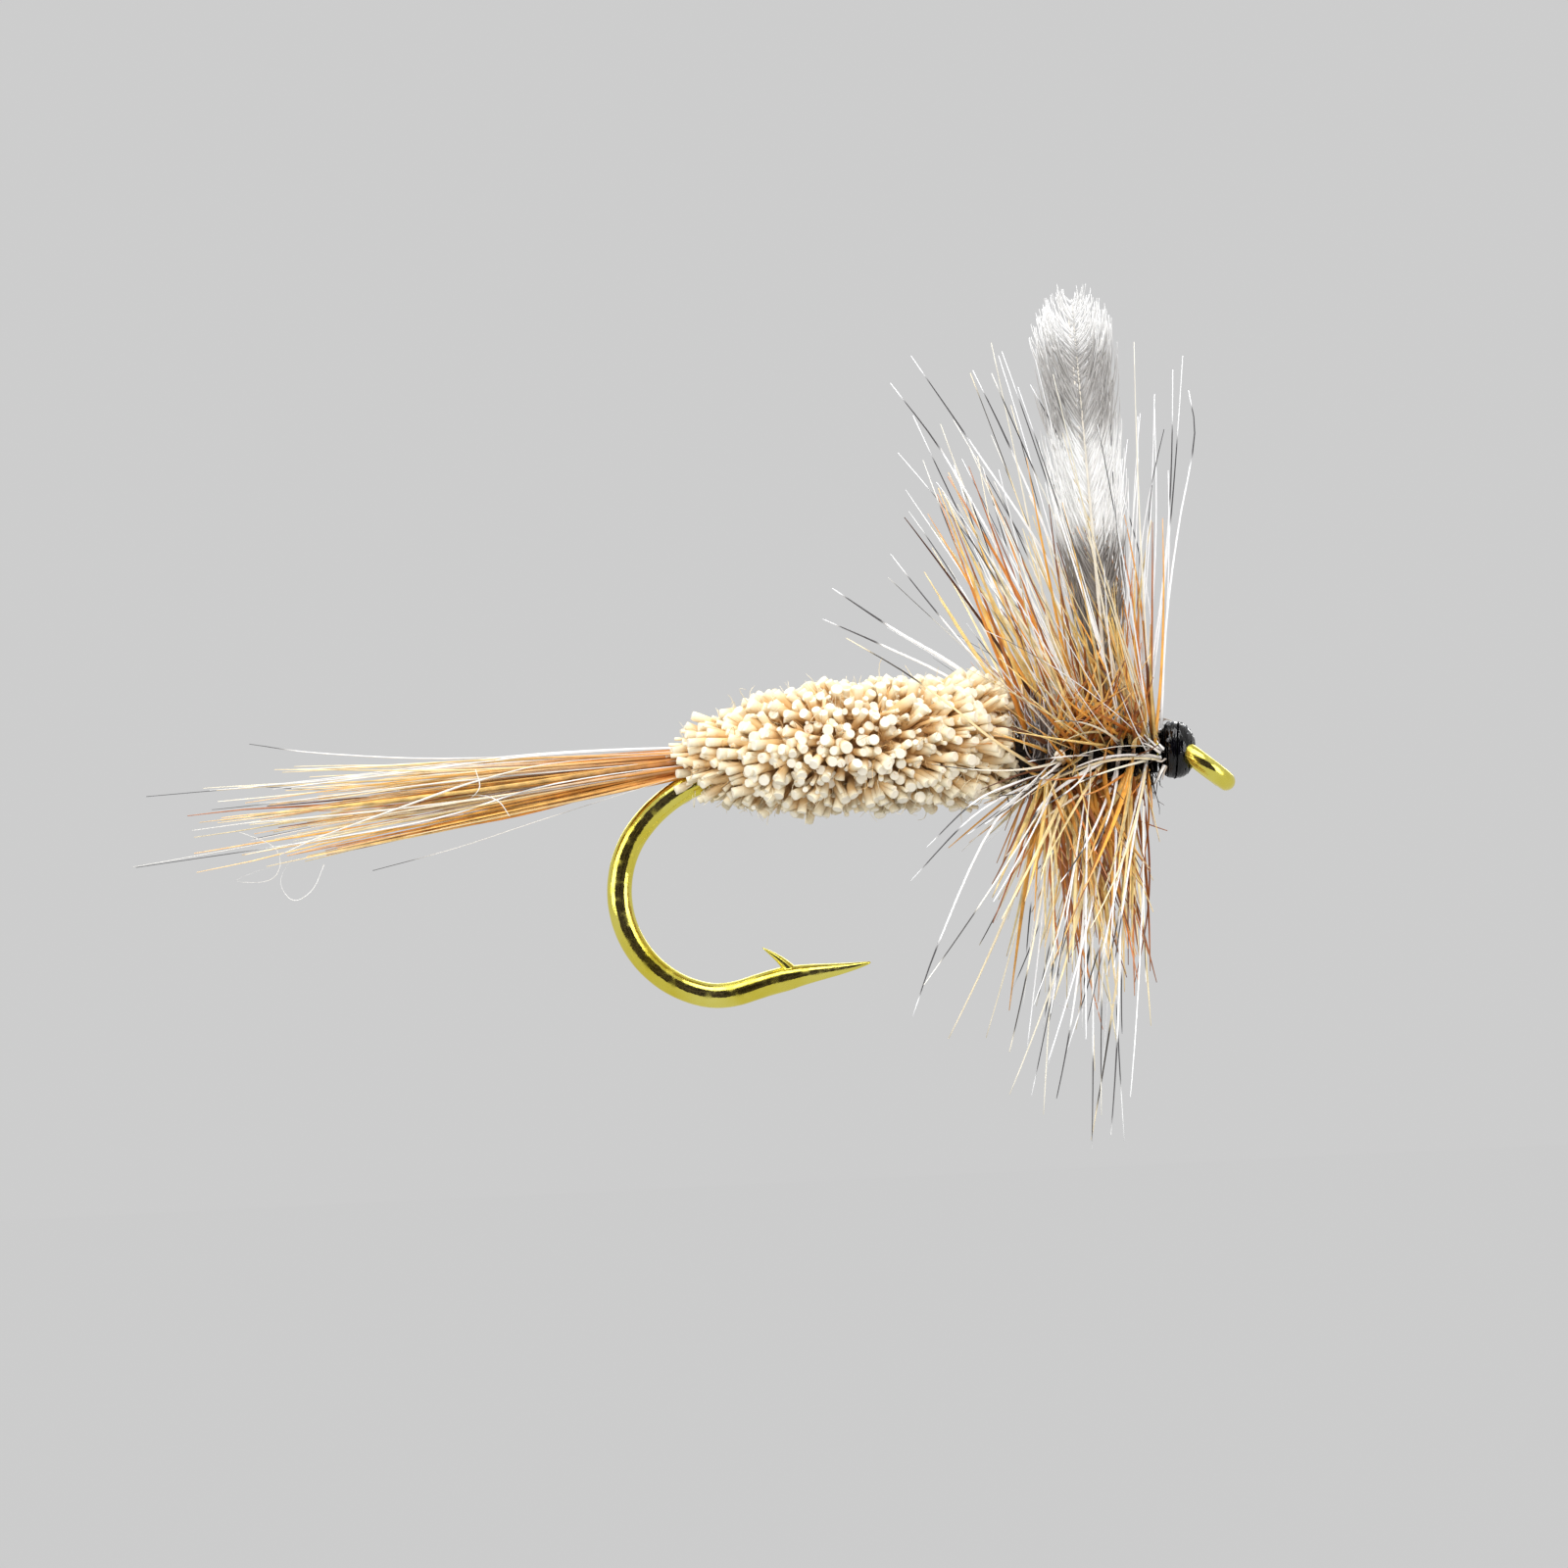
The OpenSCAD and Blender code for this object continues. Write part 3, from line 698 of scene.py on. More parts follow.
# Strands that stand apart from the fan: white ones along its edges, and curled wisps.
# Each has its route, its half width and whether its tip is barred.
TAIL_EDGE = [
    ([(-10.4, -0.20, 0.80), (-11.95, -0.24, 1.00), (-15.0, -0.34, 1.00), (-18.0, -0.40, 0.80),
      (-20.2, -0.40, 0.64), (-24.3, -0.35, 0.47)], 0.028, True),
    ([(-10.4, -0.15, 0.82), (-11.95, -0.20, 1.00), (-15.0, -0.26, 1.02), (-17.8, -0.30, 0.86),
      (-20.9, -0.30, 0.62)], 0.026, False),
    ([(-10.4, -0.22, 0.76), (-12.0, -0.28, 0.98), (-15.4, -0.36, 0.97), (-18.6, -0.42, 0.71),
      (-21.4, -0.42, 0.50)], 0.030, False),
    ([(-10.4, 0.00, 0.80), (-11.95, 0.00, 1.00), (-17.0, 0.05, 0.99), (-20.2, 0.08, 1.26),
      (-21.9, 0.10, 1.56)], 0.028, True),
    ([(-10.4, -0.28, 0.55), (-12.4, -0.34, 0.56), (-15.2, -0.46, 0.26), (-17.6, -0.56, -0.34),
      (-20.4, -0.66, -0.72), (-24.6, -0.70, -1.14)], 0.036, True),
    ([(-11.2, -0.30, 0.86), (-14.7, -0.50, 0.80), (-16.6, -0.60, 0.48), (-18.2, -0.66, 0.02),
      (-20.3, -0.70, -0.63), (-21.3, -0.70, -1.02)], 0.042, False),
    ([(-10.6, -0.10, 0.50), (-12.0, -0.20, 0.34), (-15.1, -0.30, -0.46), (-17.2, -0.30, -1.04),
      (-19.2, -0.30, -1.48)], 0.012, True),
    ([(-20.9, -0.30, -1.10), (-22.3, -0.34, -1.52), (-21.8, -0.40, -1.62), (-21.43, -0.44, -1.50),
      (-21.3, -0.44, -1.14), (-21.5, -0.40, -0.77), (-22.2, -0.36, -0.45)], 0.012, False),
    ([(-21.0, -0.30, -1.05), (-21.3, -0.40, -1.53), (-21.24, -0.44, -1.89), (-20.98, -0.44, -2.08),
      (-20.58, -0.40, -1.83), (-20.3, -0.36, -1.28)], 0.010, False),
    ([(-16.96, -0.74, -0.02), (-16.65, -0.80, 0.30), (-16.72, -0.78, 0.73)], 0.018, False),
    ([(-16.9, -0.74, 0.14), (-16.5, -0.80, 0.10), (-16.2, -0.84, -0.06), (-15.99, -0.80, -0.39)],
     0.018, False),
]
routes, half_widths, tip_barred = zip(*TAIL_EDGE)
count = len(TAIL_EDGE)
tail_edge = bristles(
    "white_tail_edge_fibres", barred_fibre, np.array([through(points, TAIL_RINGS) for points in routes]),
    tapered(count, TAIL_RINGS, half_widths, 0.008) * PALE_SWELL,
    strand=rng.random(count), tone=rng.random(count),
    bar=t_along + PLAIN * (1.0 - np.array(tip_barred, float)[:, None]),
)
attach(tail_edge, "root")


# Body: deer hair spun round the shank in six bunches, pushed tight, and clipped to a fat
# cigar. The hairs are springy and flare outwards, and their cut ends make the surface.
BODY_R = 1.54
BODY_Z = 0.83
REAR_SAG = 0.20
BODY_REAR = -12.18
BODY_FRONT = -4.24
BODY_MID = -8.3
BODY_REAR_LEN = 3.95
NOSE_LEN = 1.5
NOSE_DEPTH = 0.75
HAIR_R = (0.092, 0.138)
FINE_HAIR_R = (0.040, 0.070)
STUBS = 1300
BUNCHES = 6
SUNK_SHARE = 0.50
FINE_SHARE = 0.34
RUFF_FRONT = -11.2
RUFF_REACH = 0.26
RUFF_THIN = 0.78
ROOTS_MID = -8.2
ROOTS_SPAN = (-10.6, -4.9)
ROOTS_R = 0.30
PACKED_SHARE = 0.60


def body_radius(x):
    """The clipped outline: a long round tail end, a level back and a blunt front."""
    rear = np.clip((BODY_MID - x) / BODY_REAR_LEN, 0.0, 0.985)
    front = np.clip((x - (BODY_FRONT - NOSE_LEN)) / NOSE_LEN, 0.0, 1.0)
    return BODY_R * (1 - rear ** 2) ** 0.60 - NOSE_DEPTH * (1 - np.sqrt(1 - 0.96 * front ** 2))


def body_axis(x):
    """The height of the body's middle, which sags towards the tail."""
    return BODY_Z - REAR_SAG * np.clip((BODY_MID - x) / BODY_REAR_LEN, 0.0, 1.0)


def gathered(layers):
    """Several closed shells as one list of points and faces."""
    verts = []
    faces = []
    shift = 0
    for some_verts, some_faces in layers:
        verts.append(some_verts)
        faces += [tuple(corner + shift for corner in one) for one in some_faces]
        shift += len(some_verts)
    return np.concatenate(verts), faces


def lathe(xs, radii, sides, z, y=0.0, ragged=None):
    """A closed round form about a line along x. ragged is one radius factor a point."""
    a = 2 * np.pi * np.arange(sides) / sides
    r = radii[:, None] * (1.0 if ragged is None else ragged)
    z = np.broadcast_to(z, xs.shape)[:, None]
    verts = rows_of(xs[:, None], y + r * np.sin(a), z + r * np.cos(a)).reshape(-1, 3)
    return verts, tube_faces(1, len(xs), sides)


def deer_hair():
    material, nodes, shader = new_material("clipped_deer_hair")
    # The colour darkens from the cut end towards the root, and the packed core takes the dark root colour.
    # Beyond the hair's own darker base this is painted shade, which deepens the crevices between the stubs.
    tint = node(
        nodes, "Group",
        {
            "Root": (0.370, 0.190, 0.072, 1.0), "Middle": (0.820, 0.540, 0.245, 1.0),
            "Tip": (0.980, 0.880, 0.640, 1.0), "Middle From": 0.74, "Tip From": 0.74, "Variety": 0.36,
            "Streaks": 0.16,
        }, node_tree=strand_tint,
    )
    cut = node(nodes, "Attribute", attribute_name="cut")
    pith = node(
        nodes, "Mix",
        {"Factor": (cut, "Fac"), "A": (tint, "Color"), "B": (0.920, 0.860, 0.720, 1.0)},
        data_type="RGBA",
    )
    grain = node(nodes, "Bump", {"Height": (tint, "Height"), "Strength": 0.35, "Distance": 0.00001})
    fill(shader, {
        "Base Color": (pith, "Result"), "Normal": (grain, "Normal"), "Roughness": 0.55,
        "Specular IOR Level": 0.35,
    })
    return material


rng = np.random.default_rng(7)
hair = deer_hair()

# Cut ends spread evenly over the outline: a golden-angle spiral spaced by surface area.
GOLDEN_ANGLE = math.pi * (3 - math.sqrt(5))
profile_x = np.linspace(BODY_REAR, BODY_FRONT, 400)
profile_r = body_radius(profile_x)
slant = np.hypot(np.gradient(profile_x), np.gradient(profile_r))
covered = np.cumsum(profile_r * slant)
covered = (covered - covered[0]) / (covered[-1] - covered[0])
order = np.arange(STUBS)
end_x = np.interp((order + 0.5) / STUBS, covered, profile_x) + rng.normal(0.0, 0.04, STUBS)
turn = order * GOLDEN_ANGLE + rng.normal(0.0, 0.09, STUBS)
fine = rng.random(STUBS) < FINE_SHARE
stub_r = np.where(fine, rng.uniform(*FINE_HAIR_R, STUBS), rng.uniform(*HAIR_R, STUBS))
sunk = np.where(rng.random(STUBS) < SUNK_SHARE, rng.uniform(0.05, 0.26, STUBS), 0.0)
end_r = body_radius(end_x) + rng.normal(0.0, 0.03, STUBS)
ends = rows_of(end_x, end_r * np.sin(turn), body_axis(end_x) + end_r * np.cos(turn))
root_x = np.clip(ROOTS_MID + (end_x - ROOTS_MID) * 0.55, *ROOTS_SPAN) + rng.normal(0.0, 0.16, STUBS)
roots = rows_of(root_x, ROOTS_R * np.sin(turn), SHANK_Z + 0.45 + ROOTS_R * np.cos(turn))
roots = roots + rng.normal(0.0, 0.10, (STUBS, 3))
# Those at the tail end stand out further, in a ragged ruff.
ruff = np.where(end_x < RUFF_FRONT, rng.uniform(0.0, RUFF_REACH, STUBS), 0.0)
stub_r = stub_r * np.where(end_x < RUFF_FRONT, RUFF_THIN, 1.0)
ends = roots + (ends - roots) * (1.0 - sunk + ruff + rng.normal(0.0, 0.035, STUBS))[:, None]
# The foremost hair is bent out between the first turns of hackle.
roots[-1] = (-3.50, -0.10, 0.46)
ends[-1] = (-3.36, -1.16, 0.42)
stub_r[-1] = 0.125
ALONG = np.array([0.0, 0.35, 0.6, 0.8, 0.93, 0.985, 1.0, 1.0])
HAIR_RINGS = len(ALONG)
HAIR_SIDES = 10
HAIR_POINTS = HAIR_RINGS * HAIR_SIDES
CUT_DEPTH = 0.006
swell = np.array([0.45, 0.72, 0.88, 0.96, 1.0, 1.02, 0.95, 0.78])
bend = rng.normal(0.0, 0.10, (STUBS, 3))
path = roots[:, None] + (ends - roots)[:, None] * ALONG[None, :, None]
path = path + bend[:, None] * np.sin(np.pi * ALONG)[None, :, None]
heading = unit(path[:, 5] - path[:, 4])
path[:, -1] = path[:, -2] - heading * CUT_DEPTH
cut_rings = np.array([0.0, 0.0, 0.0, 0.0, 0.0, 0.1, 0.6, 1.0])

FUZZ = 900
FUZZ_RINGS = 7
FUZZ_SIDES = 4
FUZZ_POINTS = FUZZ_RINGS * FUZZ_SIDES
PACKED_RINGS = 16
PACKED_SIDES = 40
PACKED_POINTS = PACKED_RINGS * PACKED_SIDES
fuzz_turn = rng.uniform(0.0, 2 * np.pi, FUZZ)
fuzz_x = rng.uniform(BODY_REAR + 0.3, BODY_FRONT - 0.1, FUZZ)
fuzz_out = body_radius(fuzz_x) * rng.uniform(0.86, 1.10, FUZZ)
fuzz_z = body_axis(fuzz_x)
t = np.linspace(0.0, 1.0, FUZZ_RINGS)
fuzz_y = fuzz_out * np.sin(fuzz_turn)
fuzz_rise = fuzz_out * np.cos(fuzz_turn)
fuzz_start = rows_of(fuzz_x, 0.7 * fuzz_y, fuzz_z + 0.7 * fuzz_rise)
fuzz_end = rows_of(fuzz_x - 0.10, fuzz_y, fuzz_z + fuzz_rise) + rng.normal(0.0, 0.14, (FUZZ, 3))
curl = rng.normal(0.0, 0.12, (FUZZ, 3))
fuzz_path = (
    fuzz_start[:, None] + (fuzz_end - fuzz_start)[:, None] * t[None, :, None]
    + curl[:, None] * np.sin(np.pi * t)[None, :, None]
)
fuzz_tone = rng.random(FUZZ)
# Each stub's tone is partly random and partly painted top light: stubs on top are paler and those
# underneath darker.
stub_tone_and_top_light = 0.5 * rng.random(STUBS) + 0.25 * (1 + np.cos(turn))
# Painted edge light: fuzz at the top and bottom edges takes the pale tip colour and shows as pale fluff,
# and fuzz in front shows as brown curls.
fuzz_along_edge_lit = np.where(np.abs(np.cos(fuzz_turn)) > 0.6, 1.0, 0.66)

for number in range(1, BUNCHES + 1):
    low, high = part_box(f"deer_hair_bunch_{number}")
    rear_edge = low[0] / MM if number > 1 else -math.inf
    front_edge = high[0] / MM if number < BUNCHES else math.inf
    mine = (end_x >= rear_edge) & (end_x < front_edge)
    many = int(mine.sum())
    widths = stub_r[mine][:, None] * swell[None]
    # The gradient along the strand is taken before the cut face is turned in.
    shaft, _ = tubes(path[mine][:, :-1], widths[:, :-1], HAIR_SIDES)
    shaft = shaft.reshape(many, HAIR_RINGS - 1, HAIR_SIDES, 3)
    cut_share = swell[-1] / swell[-2]
    face = path[mine][:, None, -1] + (shaft[:, -1] - path[mine][:, None, -2]) * cut_share
    verts = np.concatenate([shaft, face[:, None]], axis=1).reshape(-1, 3)
    faces = tube_faces(many, HAIR_RINGS, HAIR_SIDES)
    soft = (fuzz_x >= rear_edge) & (fuzz_x < front_edge)
    few = int(soft.sum())
    fuzz_verts, fuzz_faces = tubes(fuzz_path[soft], tapered(few, FUZZ_RINGS, 0.011, 0.004), FUZZ_SIDES)
    packed_x = np.linspace(
        max(low[0] / MM, BODY_REAR + 0.25), min(high[0] / MM, BODY_FRONT - 0.1), PACKED_RINGS
    )
    packed_r = PACKED_SHARE * body_radius(packed_x)
    uneven = 1 + rng.normal(0.0, 0.05, (PACKED_RINGS, PACKED_SIDES))
    packed_verts, packed_faces = lathe(packed_x, packed_r, PACKED_SIDES, body_axis(packed_x), ragged=uneven)
    verts, faces = gathered([(verts, faces), (fuzz_verts, fuzz_faces), (packed_verts, packed_faces)])
    values = {
        "along": np.concatenate([np.tile(np.repeat(ALONG, HAIR_SIDES), many),
                                 np.repeat(fuzz_along_edge_lit[soft], FUZZ_POINTS), np.full(PACKED_POINTS, 0.25)]),
        "strand": np.concatenate([np.repeat(stub_tone_and_top_light[mine], HAIR_POINTS),
                                  np.repeat(fuzz_tone[soft], FUZZ_POINTS), rng.random(PACKED_POINTS)]),
        "cut": np.concatenate([np.tile(np.repeat(cut_rings, HAIR_SIDES), many),
                               np.zeros(few * FUZZ_POINTS + PACKED_POINTS)]),
    }
    bunch = piece(f"clipped_hair_bunch_{number}", verts, faces, hair, values)
    rounded = np.ones(len(faces), bool)
    cut_faces = HAIR_POINTS * many - (HAIR_SIDES - 1) * many
    rounded[cut_faces:cut_faces + many] = False
    bunch.data.polygons.foreach_set("use_smooth", rounded)
    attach(bunch, "root")
    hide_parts(f"deer_hair_bunch_{number}")


# Thorax: dark rabbit fur twisted onto the thread and wound between body and head, then
# picked out, so that loose dark hairs stand off it. It fills under the hackles.
FUR_REAR = -4.75
FUR_FRONT = -1.08
FUR_R = 0.50
FUR_HAIRS = 650
FUR_RINGS = 8
FUR_SIDES = 5
ROPE_RINGS = 70
ROPE_SIDES = 48
ROPE_PITCH = 0.42


def dark_fur():
    material, nodes, shader = new_material("dark_dubbed_fur")
    tint = node(
        nodes, "Group",
        {
            "Root": (0.010, 0.007, 0.006, 1.0), "Middle": (0.022, 0.014, 0.011, 1.0),
            "Tip": (0.080, 0.052, 0.038, 1.0), "Variety": 0.7,
        }, node_tree=strand_tint,
    )
    nap = node(nodes, "Bump", {"Height": (tint, "Height"), "Strength": 0.8, "Distance": 0.00003})
    fill(shader, {
        "Base Color": (tint, "Color"), "Normal": (nap, "Normal"), "Roughness": 0.6,
    })
    return material


rng = np.random.default_rng(19)
fur = dark_fur()
xs = np.linspace(FUR_REAR, FUR_FRONT, ROPE_RINGS)
belly = FUR_R * (0.86 + 0.14 * np.sin(np.pi * (xs - FUR_REAR) / (FUR_FRONT - FUR_REAR)))
belly[:3] *= np.array([0.5, 0.8, 0.93])
belly[-3:] *= np.array([0.93, 0.8, 0.5])
rope_turn = np.arange(ROPE_SIDES) / ROPE_SIDES
rope = 1 + 0.06 * np.sin(2 * np.pi * xs[:, None] / ROPE_PITCH - 2 * np.pi * rope_turn)
rope = rope + rng.normal(0.0, 0.03, rope.shape)
core_verts, core_faces = lathe(xs, belly, ROPE_SIDES, SHANK_Z, ragged=rope)
hair_turn = rng.uniform(0.0, 2 * np.pi, FUR_HAIRS)
hair_x = rng.uniform(FUR_REAR + 0.1, FUR_FRONT - 0.05, FUR_HAIRS)
outward = rows_of(0.0, np.sin(hair_turn), np.cos(hair_turn))
around = rows_of(0.0, np.cos(hair_turn), -np.sin(hair_turn))
base = rows_of(hair_x, 0.0, SHANK_Z) + outward * 0.38
throw = (
    outward * rng.uniform(0.15, 0.75, (FUR_HAIRS, 1))
    + around * rng.normal(0.25, 0.30, (FUR_HAIRS, 1))
    + -FORWARD * rng.normal(0.10, 0.25, (FUR_HAIRS, 1))
)
t = np.linspace(0.0, 1.0, FUR_RINGS)
curl = rng.normal(0.0, 0.10, (FUR_HAIRS, 3))
fur_path = (
    base[:, None] + throw[:, None] * t[None, :, None]
    + curl[:, None] * np.sin(1.7 * np.pi * t)[None, :, None]
)
hair_verts, hair_faces = tubes(fur_path, tapered(FUR_HAIRS, FUR_RINGS, 0.016, 0.005), FUR_SIDES)
shift = len(core_verts)
thorax = piece(
    "dubbed_fur_thorax",
    *gathered([(core_verts, core_faces), (hair_verts, hair_faces)]),
    fur,
    {
        "along": np.append(np.full(shift, 0.1), np.tile(np.repeat(t, FUR_SIDES), FUR_HAIRS)),
        "strand": np.append(
            np.full(shift, 0.4), np.repeat(rng.random(FUR_HAIRS), FUR_RINGS * FUR_SIDES)
        ),
    },
)
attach(thorax, "root")
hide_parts("thorax_dubbing")


# Wings: the tips of two barred grizzly hackles, set upright and a little apart. Each has a
# fine white quill with soft barbs along both edges, and dark bars run across the web.
WING_X = -2.15
WING_SPLAY = math.radians(12.0)
WING_LEAN = math.radians(2.5)
WING_HEIGHT = 10.2
WING_BARE = 0.9
WING_HALF = 0.82
WING_BARBS = 150
WING_QUILL_RINGS = 24
WING_BARB_RINGS = 10

wing_soft = fibre_finish(
    "barred_wing_web", [(0.0, (0.86, 0.85, 0.83)), (1.0, (0.95, 0.95, 0.95))],
    1.0, 1.0, streaks=0.05, variety=0.08, gloss=0.5,
    bars=("height", [(1.5, 4.9, 0.50, 0.85), (7.4, 9.35, 0.40, 0.55)], (0.105, 0.080, 0.062)),
)
wing_quill_finish = fibre_finish(
    "wing_quill_horn", [(0.0, (0.80, 0.72, 0.58)), (1.0, (0.90, 0.86, 0.78))],
    0.85, 1.05, streaks=0.2, variety=0.1, gloss=0.3,
)
rng = np.random.default_rng(63)
for side, splay in (("left", WING_SPLAY), ("right", -WING_SPLAY)):
    stem = unit(np.array([-math.sin(WING_LEAN), math.sin(splay), math.cos(splay)]))
    foot = np.array([WING_X, 0.42 * math.sin(splay), SHANK_Z + 0.42])
    t = np.linspace(0.0, 1.0, WING_QUILL_RINGS)
    bow = np.array([0.0, math.copysign(1.0, splay), 0.0]) * 0.55
    line = foot + stem * WING_HEIGHT * t[:, None] + bow * np.sin(np.pi * t)[:, None] * 0.6
    quill = bristles(
        f"{side}_wing_quill", wing_quill_finish, line[None],
        tapered(1, WING_QUILL_RINGS, 0.055, 0.010), 10, strand=np.array([0.5]), tone=np.array([0.5]),
    )
    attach(quill, "root")
    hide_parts(f"wing_{side}_quill")
    barbs = 2 * WING_BARBS
    edge = np.where(np.arange(barbs) % 2 == 0, 1.0, -1.0)
    at = np.sort(rng.uniform(WING_BARE / WING_HEIGHT, 0.995, barbs))
    start = np.stack([np.interp(at, t, line[:, axis]) for axis in range(3)], -1)
    width = WING_HALF * np.clip(0.55 + 1.2 * at, 0.0, 1.0) * rng.uniform(0.55, 1.12, barbs)
    width = width * np.clip((1.04 - at) / 0.20, 0.05, 1.0)
    crown = 1.03 - 0.07 * (width / WING_HALF) ** 2
    reach = np.minimum(2.6, (crown - at) * WING_HEIGHT) * rng.uniform(0.8, 1.04, barbs)
    b = np.linspace(0.0, 1.0, WING_BARB_RINGS)
    web = (
        start[:, None]
        + stem * (reach[:, None] * b)[..., None]
        + FORWARD * (edge * width)[:, None, None] * (1 - (1 - b) ** 1.9)[None, :, None]
        + rng.normal(0.0, 0.05, (barbs, 1, 3)) * b[None, :, None]
        + np.array([0.0, 1.0, 0.0]) * rng.normal(0.0, 0.14, (barbs, 1, 1)) * (b ** 1.5)[None, :, None]
    )
    vane = bristles(
        f"{side}_wing_web", wing_soft, web,
        tapered(barbs, WING_BARB_RINGS, rng.uniform(0.016, 0.030, barbs), 0.006), 5,
        strand=rng.random(barbs), tone=rng.random(barbs),
        height=web[:, :, 2] - SHANK_Z + rng.normal(0.0, 0.18, (barbs, 1)),
    )
    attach(vane, "root")
    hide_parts(f"wing_{side}_web")


# Hackles: one brown and one barred grizzly cock hackle, wound together in four turns each
# round the thorax, behind and in front of the wings, so that their stiff barbs stand out.
HACKLE_REAR = -4.08
HACKLE_PITCH = 0.649
TURNS = 4
WOUND_R = 0.585
QUILL_R = 0.060
QUILL_RINGS = 220
BARB_ROOT_R = 0.62
BARBS_A_TURN = 46
BARB_RINGS = 14
FACING_GAP = 0.62
REAR_GAP = 0.22
LOW_SWEEP_SHORTER = 0.6
BARB_TIP = 0.011
NEAR_SIDE = (0.0, -1.0, 0.2)
# Least and most lean towards the tail in degrees, each at the rear turn and the front turn.
LEAN_ABOVE = ((11.0, -4.0), (39.0, 29.0))
BROWN_LEAN_BELOW = ((-20.0, -3.0), (25.0, 22.0))
GRIZZLY_LEAN_BELOW = ((0.0, -3.0), (29.0, 19.0))

hackle_brown = fibre_finish("brown_hackle_barb", BROWN_STOPS, 0.80, 0.95, streaks=0.34, variety=0.55)
hackle_grizzly = fibre_finish(
    "grizzly_hackle_barb",
    [(0.0, (0.92, 0.74, 0.42)), (0.25, (0.94, 0.88, 0.72)), (0.5, (0.95, 0.95, 0.94)),
     (1.0, (0.97, 0.97, 0.98))],
    0.92, 1.0, streaks=0.10, variety=0.10,
    bars=("bar", [(0.69, 0.92, 0.03, 0.96)], (0.028, 0.024, 0.026)),
)
quill_brown = fibre_finish(
    "brown_hackle_quill_horn", [(0.0, (0.42, 0.17, 0.05)), (1.0, (0.62, 0.33, 0.12))], 0.8, 1.1
)
quill_grizzly = fibre_finish(
    "grizzly_hackle_quill_horn", [(0.0, (0.66, 0.60, 0.50)), (1.0, (0.84, 0.80, 0.72))], 0.8, 1.1
)


def hackle_quill(name, start_x, material):
    turns = np.linspace(-0.15, TURNS + 0.1, QUILL_RINGS)
    angle = 2 * np.pi * turns
    line = rows_of(
        start_x + HACKLE_PITCH * turns, WOUND_R * np.sin(angle), SHANK_Z + WOUND_R * np.cos(angle)
    )
    return bristles(
        name, material, line[None], tapered(1, QUILL_RINGS, QUILL_R, QUILL_R * 0.7), 10,
        strand=np.array([0.5]), tone=np.array([0.5]),
    )


def barb_lines(rng, start_x, turn, count, length, jitter, lean_below, thinned=0.0, sideways=13.0):
    """Barbs of one turn: roots along the quill, headings swept back most at the rear."""
    share = (np.arange(count) + rng.uniform(0.0, 1.0, count)) / count
    angle = 2 * np.pi * share
    x = start_x + HACKLE_PITCH * (turn + share)
    w = np.clip((x - HACKLE_REAR) / (HACKLE_PITCH * (TURNS + 0.5)), 0.0, 1.0)
    down = np.clip(-np.cos(angle), 0.0, 1.0) ** 0.5
    bounds = []
    for (rear_above, front_above), (rear_below, front_below) in zip(LEAN_ABOVE, lean_below):
        above = rear_above + (front_above - rear_above) * w
        below = rear_below + (front_below - rear_below) * w
        bounds.append(np.radians(above + (below - above) * down))
    lean = bounds[0] + (bounds[1] - bounds[0]) * rng.beta(1.5, 2.1, count)
    splay = np.radians(rng.normal(0.0, sideways, count))
    outward = rows_of(0.0, np.sin(angle), np.cos(angle))
    around = rows_of(0.0, np.cos(angle), -np.sin(angle))
    back = -FORWARD
    flat = outward * np.cos(splay)[:, None] + around * np.sin(splay)[:, None]
    heading = flat * np.cos(lean)[:, None] + back * np.sin(lean)[:, None]
    root = rows_of(x, 0.0, SHANK_Z) + outward * BARB_ROOT_R
    lengths = length * rng.uniform(1.0 - jitter, 1.0 + 0.5 * jitter, count)
    lengths = lengths * (1 - LOW_SWEEP_SHORTER * down * np.sin(np.maximum(lean, 0.0)))
    t = np.linspace(0.0, 1.0, BARB_RINGS)[None, :, None]
    sweep = back * rng.normal(0.02, 0.05, (count, 1)) + around * rng.normal(0.0, 0.06, (count, 1))
    line = root[:, None] + lengths[:, None, None] * (
        heading[:, None] * t + sweep[:, None] * (t ** 2 - 0.5 * t)
    )
    near = np.clip(-outward[:, 1], 0.0, 1.0) ** 5
    sparse = thinned * (np.cos(angle) < -0.3) + REAR_GAP * ((np.cos(angle) > 0.3) & (w < 0.45))
    kept = rng.random(count) > FACING_GAP * near + sparse
    return line[kept], outward[kept]


def barb_piece(name, material, lines, outward, rng, base, tone, bar_shift=0.04, plain_share=0.45):
    count = len(lines)
    facing = unit(np.cross(lines[:, -1] - lines[:, 0], outward) + rng.normal(0.0, 0.25, (count, 3)))
    facing = unit(facing + np.array([0.0, -1.5, 0.0]))
    widths = tapered(count, BARB_RINGS, base, BARB_TIP, 0.95)
    own_bar = np.linspace(0.0, 1.0, BARB_RINGS)[None] + rng.uniform(-bar_shift, bar_shift, (count, 1))
    own_bar = own_bar + PLAIN * (rng.random((count, 1)) < plain_share)
    return bristles(
        name, material, lines, widths, 8, widths * 0.42, facing,
        strand=rng.random(count), tone=tone, bar=own_bar,
    )


rng = np.random.default_rng(88)
brown_quill = hackle_quill("brown_hackle_wound_quill", HACKLE_REAR, quill_brown)
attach(brown_quill, "root")
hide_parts("brown_hackle_quill")
grizzly_start = HACKLE_REAR + HACKLE_PITCH / 2
grizzly_quill = hackle_quill("grizzly_hackle_wound_quill", grizzly_start, quill_grizzly)
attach(grizzly_quill, "root")
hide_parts("grizzly_hackle_quill")

